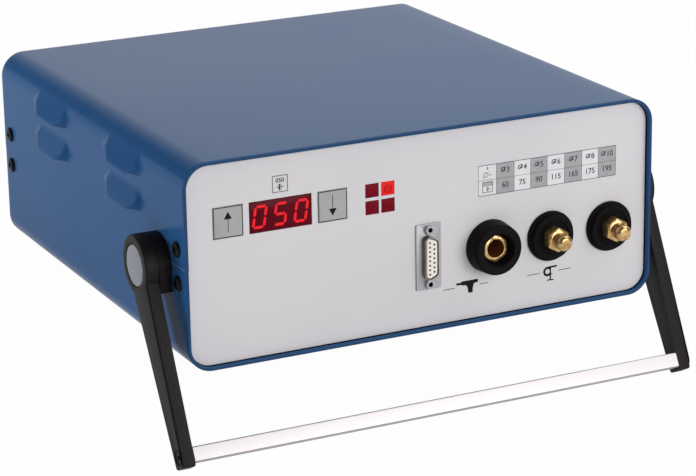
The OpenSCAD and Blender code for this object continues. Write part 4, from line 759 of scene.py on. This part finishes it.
for side in ("left", "right"):
    softened("hub_base_" + side, "black_coat", 0.9, "case", "black_plastic", 3, beside_hub)
    softened("handle_arm_" + side, "black_coat", 1.2, "handle", "black_steel", 4, inside_hub, clamp=False)
bar = softened("handle_bar", "bar_anodised", 0.9, "handle", "bar_alu", 4)
along = UNSTAND @ (sum(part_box("handle_bar"), Vector()) / 2) - Vector((0, PIVOT_Y, PIVOT_Z))
broad = Vector((0, -along.z, along.y)).normalized()
# The bar's faces away from its broad front and back take the grey as painted shade on the same anodised bar.
print("grey bar edges:", second_finish(bar, "bar_edge", lambda spot, way: abs(way.dot(broad)) < BROAD), "faces")
for side in ("left", "right"):
    softened("release_button_" + side, "button_plastic", 0.5, "release_" + side, "button_grey", 3, inside_hub)
softened("rubber_feet", "rubber_black", 0.4, "case", "rubber")
print("handle, buttons and feet softened")

# %% [markdown]
# ## Terminals and connector
# Three weld terminals stand on the panel: a tall insulated socket with a keyed brass ring, and two low ones with a
# brass hexagon pin. Beside them sits a 15-way connector in a tinned shell. All are turned or pressed parts, so
# softened copies of their solids with the right finishes are enough.

# %% Terminal pieces
GUN_X, DSUB_X, TERMINAL_Z, JACK_PITCH = 43.3, 1.8, 45.5, 33.3
GUN_MOUTH_Y, GUN_MOUTH_R, SHELL_Y, SHELL_SIDE, JACK_Y, JACK_R = -2.9, 6.9, 2.2, 0.6, 0.1, 1.5


def in_gun_mouth(spot, way):
    return spot.y > GUN_MOUTH_Y and math.hypot(spot.x - GUN_X, spot.z - TERMINAL_Z) < GUN_MOUTH_R


def in_jack(spot, way):
    return spot.y > JACK_Y and math.hypot(spot.x - DSUB_X, abs(spot.z - TERMINAL_Z) - JACK_PITCH / 2) < JACK_R


softened("gun_socket_collar", "collar_plastic", 0.35, "case", "black_plastic", 3)
insert = softened("gun_socket_insert", "brass_turned", 0.2, "case", "brass")
# The walls down in the insert's bore take the dark brass as painted shade.
second_finish(insert, "brass_deep", in_gun_mouth)
for side in ("left", "right"):
    softened("ground_collar_" + side, "collar_plastic", 0.3, "case", "black_plastic", 3)
    softened("ground_pin_" + side, "brass_turned", 0.25, "case", "brass")
shell = softened("dsub_shell", "tinned_steel", 0.12, "case", "zinc")
# The shell's walls that face sideways, in front of the panel, take the dark bronze as painted shade.
second_finish(shell, "shell_bronze", lambda spot, way: spot.y < SHELL_Y and abs(way.y) < SHELL_SIDE)
jacks = softened("dsub_jackscrews", "tinned_steel", 0.15, "case", "steel")
# The jack screws' threaded holes take the black collar finish as painted shade; the posts are metal all through.
second_finish(jacks, "collar_plastic", in_jack)
for node, body in (("mains_inlet", "case"), ("mains_switch", "case"), ("mains_rocker", "rocker")):
    softened(node, "black_moulding", 0.4, body, "black_plastic")
print("terminals, connector and mains parts softened")

# %% Painted shade in the connector's contact holes
CONTACT_Y, CONTACT_ROW, CONTACT_PITCH, CONTACT_SIDES = -2.0, 2.84, 2.77, 14
contact_places = [((DSUB_X + (row - 0.5) * CONTACT_ROW, CONTACT_Y, TERMINAL_Z + (k - (count - 1) / 2) * CONTACT_PITCH),
                   (0, -1, 0)) for row, count in enumerate((8, 7)) for k in range(count)]
# A thin dark disc on the insulator at each contact hole paints the shade inside it.
contact_template = turned("contact_mouth", [(0.7, -0.02), (0.7, 0.015), (0.02, 0.016)], CONTACT_SIDES)
handed_over(repeated("connector_contacts", contact_template, contact_places, "contact_dark"), "case", "insulator_white")
print(len(contact_places), "contacts")

# %% [markdown]
# ## Keys, window and lamps
# Two membrane keys flank a dark red window with three glowing digits, and four square lamps sit to the right with
# one of them lit. The lamp piece keeps both finishes in one mesh: its faces choose by where they are.

# %% Controls
CONTROL_Z, FACE_Y, LAMPS_X = 85.6, 3.5, -28.9
KEYS = {"key_up": -124.5, "key_down": -59.3}
for node, body in (("up_key", "key_up"), ("down_key", "key_down")):
    softened(node, "key_plastic", 0.25, body, "key_grey", 3)
softened("display_window", "window_glass", 0.2, "case", "window_red")
lamps = softened("indicator_lenses", "lens_red", 0.3, "case", "lamp_red", 3)
lit_faces = second_finish(lamps, "lamp_glow", lambda spot, way: spot.x > LAMPS_X and spot.z > CONTROL_Z)
print("lit lamp faces", lit_faces)

# %% [markdown]
# ## Printing on the panel
# The print is drawn flat in panel coordinates, X across and Z up, as filled outlines: strokes, boxes, polygons and
# characters from a text object. A tiny Solidify turns each ink layer into a closed film that lies on its carrier.

# %% Print tools
FILM, CHARACTER_WEIGHT, RING_PARTS = 0.02, 0.07, 24


def box_outline(x0, z0, x1, z1):
    return [(x0, z0), (x1, z0), (x1, z1), (x0, z1)]


def strokes(*rows):
    """Straight lines as thin rectangles, from rows of two ends and a width: x, z, x, z, width."""
    made = []
    for x0, z0, x1, z1, width in rows:
        run = Vector((x1 - x0, z1 - z0))
        side = Vector((-run.y, run.x)).normalized() * width / 2
        made.append([(x0 - side.x, z0 - side.y), (x1 - side.x, z1 - side.y),
                     (x1 + side.x, z1 + side.y), (x0 + side.x, z0 + side.y)])
    return made


def frame_strokes(x0, z0, x1, z1, width):
    """A rectangle's outline as four bars."""
    half = width / 2
    ends = [box_outline(x0 - half, z - half, x1 + half, z + half) for z in (z0, z1)]
    return ends + [box_outline(x - half, z0 + half, x + half, z1 - half) for x in (x0, x1)]


def ring_strokes(x, z, radius, width, start=0, stop=360):
    """A circle or an arc as a row of short four-cornered pieces."""
    made = []
    inner, outer = radius - width / 2, radius + width / 2
    for k in range(RING_PARTS):
        a, b = (math.radians(start + (stop - start) * (k + j) / RING_PARTS) for j in (0, 1))
        corners = ((inner, a), (outer, a), (outer, b), (inner, b))
        made.append([(x + r * math.cos(t), z + r * math.sin(t)) for r, t in corners])
    return made


def characters(text, x, z, size):
    """The filled faces of a short number, centred on a point."""
    letters = bpy.data.curves.new("characters", "FONT")
    letters.body, letters.size, letters.offset = text, size, CHARACTER_WEIGHT
    letters.align_x, letters.align_y = "CENTER", "CENTER"
    carrier = placed("characters", letters)
    bpy.context.view_layer.update()
    flat = bpy.data.meshes.new_from_object(carrier.evaluated_get(bpy.context.evaluated_depsgraph_get()))
    made = [[(x + flat.vertices[v].co.x, z + flat.vertices[v].co.y) for v in f.vertices] for f in flat.polygons]
    bpy.data.objects.remove(carrier)
    bpy.data.meshes.remove(flat)
    bpy.data.curves.remove(letters)
    return made


def printed(name, outlines, y, finish, body="case", slot="panel_print", film=FILM):
    """Ink outlines as a closed film whose back lies at depth y."""
    points, faces = [], []
    for outline in outlines:
        area = sum(a[0] * b[1] - b[0] * a[1] for a, b in zip(outline, outline[1:] + outline[:1]))
        ring = outline if area > 0 else outline[::-1]
        faces.append(tuple(range(len(points), len(points) + len(ring))))
        points += [(x, y, z) for x, z in ring]
    ink = drawn(name, points, faces, finish)
    layer = ink.modifiers.new("film", "SOLIDIFY")
    layer.thickness, layer.offset = film / 1000, 1.0
    return handed_over(settle(ink), body, slot)


print("print tools ready")

# %% Chart
CHART_X = (35.6, 47.6, 59.6, 70.7, 82.0, 93.9, 105.7, 117.1, 129.3)
CHART_Z = (76.7, 85.9, 95.1)
CHART = (("3", "60"), ("4", "75"), ("5", "90"), ("6", "115"), ("7", "165"), ("8", "175"), ("10", "195"))
CHART_TEXT, SIZE_Z, TIME_Z, COLUMN_LINE, ROW_LINES = 4.7, 90.6, 81.5, 0.24, (0.36, 0.2, 0.36)
GREY_Y, GREY_FILM, LINE_Y, LINE_FILM = FACE_Y - 0.002, 0.021, FACE_Y - 0.022, 0.015
cells = [box_outline(CHART_X[k], CHART_Z[0], CHART_X[k + 1], CHART_Z[2]) for k in range(len(CHART_X) - 1)]
lines = strokes(*((x, CHART_Z[0], x, CHART_Z[2], COLUMN_LINE) for x in CHART_X))
lines += strokes(*((CHART_X[0], z, CHART_X[-1], z, width) for z, width in zip(CHART_Z, ROW_LINES)))
digits = []
for k, (size, time) in enumerate(CHART):
    middle_x = (CHART_X[k + 1] + CHART_X[k + 2]) / 2
    digits += characters("Ø" + size, middle_x, SIZE_Z, CHART_TEXT) + characters(time, middle_x, TIME_Z, CHART_TEXT)
icons = frame_strokes(38.4, 78.6, 45.0, 84.9, 0.35)
icons += strokes((41.4, 79.2, 41.4, 82.0, 0.6), (42.2, 79.2, 42.2, 82.0, 0.3), (42.2, 80.6, 44.2, 80.6, 0.3))
icons += ring_strokes(40.6, 89.3, 1.5, 0.3)
icons += strokes((38.4, 87.6, 42.8, 91.2, 0.25), (42.8, 89.0, 44.6, 89.0, 0.45), (41.7, 92.4, 41.7, 94.0, 0.7),
                 (37.6, 86.6, 45.2, 86.6, 0.16))
grey_cells = cells[1::2] + [box_outline(38.5, 82.3, 44.9, 84.8)]
printed("chart_white", cells[::2], FACE_Y, "ink_white")
printed("chart_grey", grey_cells, GREY_Y, "ink_grey", film=GREY_FILM)
printed("chart_lines", lines, LINE_Y, "ink_fine", film=LINE_FILM)
printed("chart_digits", digits, LINE_Y, "ink_fine")
printed("chart_icons", icons, LINE_Y, "ink_fine")
print("chart cells", len(cells), "digit faces", len(digits))

# %% [markdown]
# ## Key marks, digits and pictograms
# A key shows an arrow, a filled triangle on a thin stem, for up and down. The display's digits are seven-segment
# bars leaning to the right, in front of the glass so that they glow. Under the terminals two pictograms, a welding
# gun and a clamp, say which cable goes where.

# %% Key marks
KEY_FRAME, KEY_LINE, KEY_Y = 8.8, 0.5, FACE_Y - 0.3
HEAD_HALF, HEAD_ROOT, HEAD_TIP, STEM_END, STEM_W = 2.5, 1.7, 6.1, 6.0, 0.42
for body, x in KEYS.items():
    z, flip = CONTROL_Z, 1 if body == "key_up" else -1
    marks = frame_strokes(x - KEY_FRAME, z - KEY_FRAME, x + KEY_FRAME, z + KEY_FRAME, KEY_LINE)
    root_z = z + flip * HEAD_ROOT
    marks.append([(x - HEAD_HALF, root_z), (x + HEAD_HALF, root_z), (x, z + flip * HEAD_TIP)])
    marks += strokes((x, z - flip * STEM_END, x, root_z, STEM_W))
    printed(body + "_marks", marks, KEY_Y, "ink_black", body, "key_grey")
print("key marks")

# %% Display digits
SEGMENTS = {"0": "abcdef", "5": "acdfg"}
SEGMENT_ENDS = {"a": ((0, 1), (1, 1)), "g": ((0, 0.5), (1, 0.5)), "d": ((0, 0), (1, 0)), "f": ((0, 0.5), (0, 1)),
                "e": ((0, 0), (0, 0.5)), "b": ((1, 0.5), (1, 1)), "c": ((1, 0), (1, 0.5))}
WINDOW_X, DIGIT_PITCH, DIGIT_W, DIGIT_H = -91.9, 12.9, 6.7, 12.1
SEGMENT_HALF, SEGMENT_GAP, DIGIT_SLANT = 0.825, 0.25, 0.16


def segment(kind, x, z):
    """One bar of a seven-segment digit with its ends cut to points."""
    a, b = (Vector((u * DIGIT_W, v * DIGIT_H)) for u, v in SEGMENT_ENDS[kind])
    run = (b - a).normalized()
    side, point = Vector((-run.y, run.x)) * SEGMENT_HALF, run * SEGMENT_HALF
    a, b = a + run * SEGMENT_GAP, b - run * SEGMENT_GAP
    ring = [a, a + point - side, b - point - side, b, b - point + side, a + point + side]
    return [(x + p.x + DIGIT_SLANT * (p.y - DIGIT_H / 2) - DIGIT_W / 2, z + p.y - DIGIT_H / 2) for p in ring]


bars = [segment(kind, WINDOW_X + (k - 1) * DIGIT_PITCH, CONTROL_Z)
        for k, digit in enumerate("050") for kind in SEGMENTS[digit]]
printed("display_digits", bars, FACE_Y, "digit_glow", "case", "window_red")
print("display segments", len(bars))

# %% Lamp marks
lens_spots = [UNSTAND @ corner.co for corner in lamps.data.vertices]
lit_spots = [lens_spots[v] for f in lamps.data.polygons if f.material_index for v in f.vertices]
lamp_x, lamp_z = ((min(s[i] for s in lit_spots) + max(s[i] for s in lit_spots)) / 2 for i in (0, 2))
pair_x = min(s.x for s in lens_spots) + max(s.x for s in lit_spots) - lamp_x
lamp_marks = ring_strokes(lamp_x, lamp_z - 0.3, 2.2, 0.5, 125, 415)
lamp_marks += strokes((lamp_x, lamp_z - 0.2, lamp_x, lamp_z + 2.6, 0.55),
                      (pair_x, lamp_z - 2.2, pair_x, lamp_z + 2.0, 0.5))
printed("lamp_marks", lamp_marks, min(s.y for s in lens_spots), "ink_red", "case", "lamp_red")
print("lamp marks at", round(lamp_x, 1), round(pair_x, 1), round(lamp_z, 1))

# %% Pictograms
GUN_BARREL = [(20.5, 24.2), (23.8, 24.0), (25.0, 23.5), (32.0, 23.5), (33.0, 24.1), (35.1, 24.3), (35.1, 26.2),
              (24.2, 26.2), (23.6, 25.5), (20.5, 25.6)]
GUN_GRIP = [(26.8, 23.5), (27.9, 22.3), (28.3, 20.7), (28.4, 18.5), (31.5, 18.3), (31.6, 20.7), (31.8, 22.3),
            (32.2, 23.5)]
symbols = strokes((11.7, 22.7, 19.5, 22.7, 0.4), (36.0, 22.7, 41.7, 22.7, 0.4)) + [GUN_BARREL, GUN_GRIP]
symbols += strokes((68.4, 22.7, 77.2, 22.7, 0.4), (89.9, 22.7, 98.8, 22.7, 0.4))
symbols += ring_strokes(82.6, 23.0, 2.3, 1.5, 40, 325)
symbols += strokes((84.5, 17.4, 84.5, 25.4, 1.0), (82.3, 17.5, 86.8, 17.5, 0.75), (83.4, 25.5, 89.0, 25.7, 1.15),
                   (82.6, 21.2, 86.0, 21.2, 0.5))
symbols += frame_strokes(-96.5, 98.5, -87.2, 108.0, 0.4) + characters("050", WINDOW_X, 105.2, 3.6)
symbols += strokes((-94.2, 101.4, -92.3, 101.4, 0.35), (-91.3, 101.4, -89.4, 101.4, 0.35),
                   (-92.3, 99.6, -92.3, 103.2, 0.9), (-91.3, 99.6, -91.3, 103.2, 0.4))
printed("panel_symbols", symbols, FACE_Y, "ink_black")
print("pictogram outlines", len(symbols))

# %% [markdown]
# ## The painted seam highlight
# Beside the front screws the seam's edge catches the light as a fine pale line, in a part of the side that lies in
# shade. A thin strip on each side, hardly proud of the sheet, paints this highlight in grey. The faces of one side run
# the other way round, because it is mirrored.

# %% Painted seam highlight by the front screws
STRIP_LIFTS, STRIP_FRONT, STRIP_BACK, STRIP_HALF = (-0.05, 0.03), 1.2, 20.5, 0.14
STRIP_RING = box_outline(STRIP_FRONT, -STRIP_HALF, STRIP_BACK, STRIP_HALF)
STRIP_FACES = [(0, 3, 2, 1), (4, 5, 6, 7), (0, 1, 5, 4), (1, 2, 6, 5), (2, 3, 7, 6), (3, 0, 4, 7)]
for side, sign in (("left", -1), ("right", 1)):
    corners = [(sign * (CASE_W / 2 + lift), y, SEAM_Z + high) for lift in STRIP_LIFTS for y, high in STRIP_RING]
    edge = drawn("seam_edge_" + side, corners, [f[::sign] for f in STRIP_FACES], "bar_edge")
    handed_over(edge, "case", "case_paint")
print("two bare seam edges")

# %% [markdown]
# ## Springs behind the buttons
# A small coil spring pushes each release button out. A spring follows a path, so a tree makes it: a spiral curve,
# and a round wire swept along it.

# %% Spring tree
spring_tree, spring_in, given, tree_out = new_tree(
    "coil_spring", Turns="Float", Radius="Float", Length="Float", Wire="Float", Finish="Material")
spiral = add_node(spring_tree, "GeometryNodeCurveSpiral", {
    "Resolution": 24, "Rotations": given["Turns"], "Start Radius": given["Radius"], "End Radius": given["Radius"],
    "Height": given["Length"]}).outputs[0]
wire = add_node(spring_tree, "GeometryNodeCurvePrimitiveCircle", {"Resolution": 10, "Radius": given["Wire"]}).outputs[0]
sweep = add_node(spring_tree, "GeometryNodeCurveToMesh", {"Curve": spiral, "Profile Curve": wire, "Fill Caps": True})
close_tree(spring_tree, sweep.outputs[0], given["Finish"], tree_out)
print("spring tree:", len(spring_tree.nodes), "nodes")

# %% Springs
WIRE_R, TURNS, STROKE = 0.0005, 4.0, 0.0025
for side, sign in (("left", -1), ("right", 1)):
    node = "button_spring_" + side
    low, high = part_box(node)
    length = high.x - low.x
    coil = linked(node + "_coil", bpy.data.meshes.new(node + "_coil"), "steel_grey")
    grow(coil, spring_tree, spring_in, Turns=TURNS, Radius=(high.y - low.y) / 2 - WIRE_R,
         Length=length - 2 * WIRE_R, Wire=WIRE_R, Finish=FINISH["steel_grey"])
    inner = low.x if sign > 0 else high.x
    lay = Matrix.Rotation(math.radians(90 * sign), 4, "Y")
    coil.data.transform(Matrix.Translation((inner + sign * WIRE_R, (low.y + high.y) / 2, (low.z + high.z) / 2)) @ lay)
    handed_over(shade(coil, 60), "handle", "steel", node)
    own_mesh(coil)
    print(coil.name, "length", round(length * 1000, 2), "mm")

# %% [markdown]
# ## Finishes for the solids that stay
# Panels, brackets and everything inside keep their CAD meshes. Each gets the finish of its own material, found by
# its slot in the record, so that an opened case shows board green, copper and brass.

# %% Finishes by slot
BY_SLOT = {
    "case_paint": "blue_enamel", "panel_print": "panel_foil", "plate_alu": "plate_metal", "bar_alu": "bar_anodised",
    "black_steel": "black_coat", "zinc": "zinc_plate", "steel": "steel_grey", "rubber": "rubber_black",
    "black_plastic": "black_moulding", "button_grey": "button_plastic", "key_grey": "key_plastic",
    "window_red": "window_glass", "lamp_red": "lens_red", "board_green": "board_lacquer",
    "insulator_white": "contact_plastic", "brass": "brass_turned", "copper": "copper_bar",
    "resistor_shell": "resistor_gold", "capacitor_sleeve": "can_sleeve"}
BY_NODE = {"bar_screws": "screw_black"}
for part in frame["record"]["subparts"]:
    finish = FINISH[BY_NODE.get(part["node"], BY_SLOT[part["material_slot"]])]
    for slot in frame["nodes"][part["node"]].material_slots:
        slot.material = finish
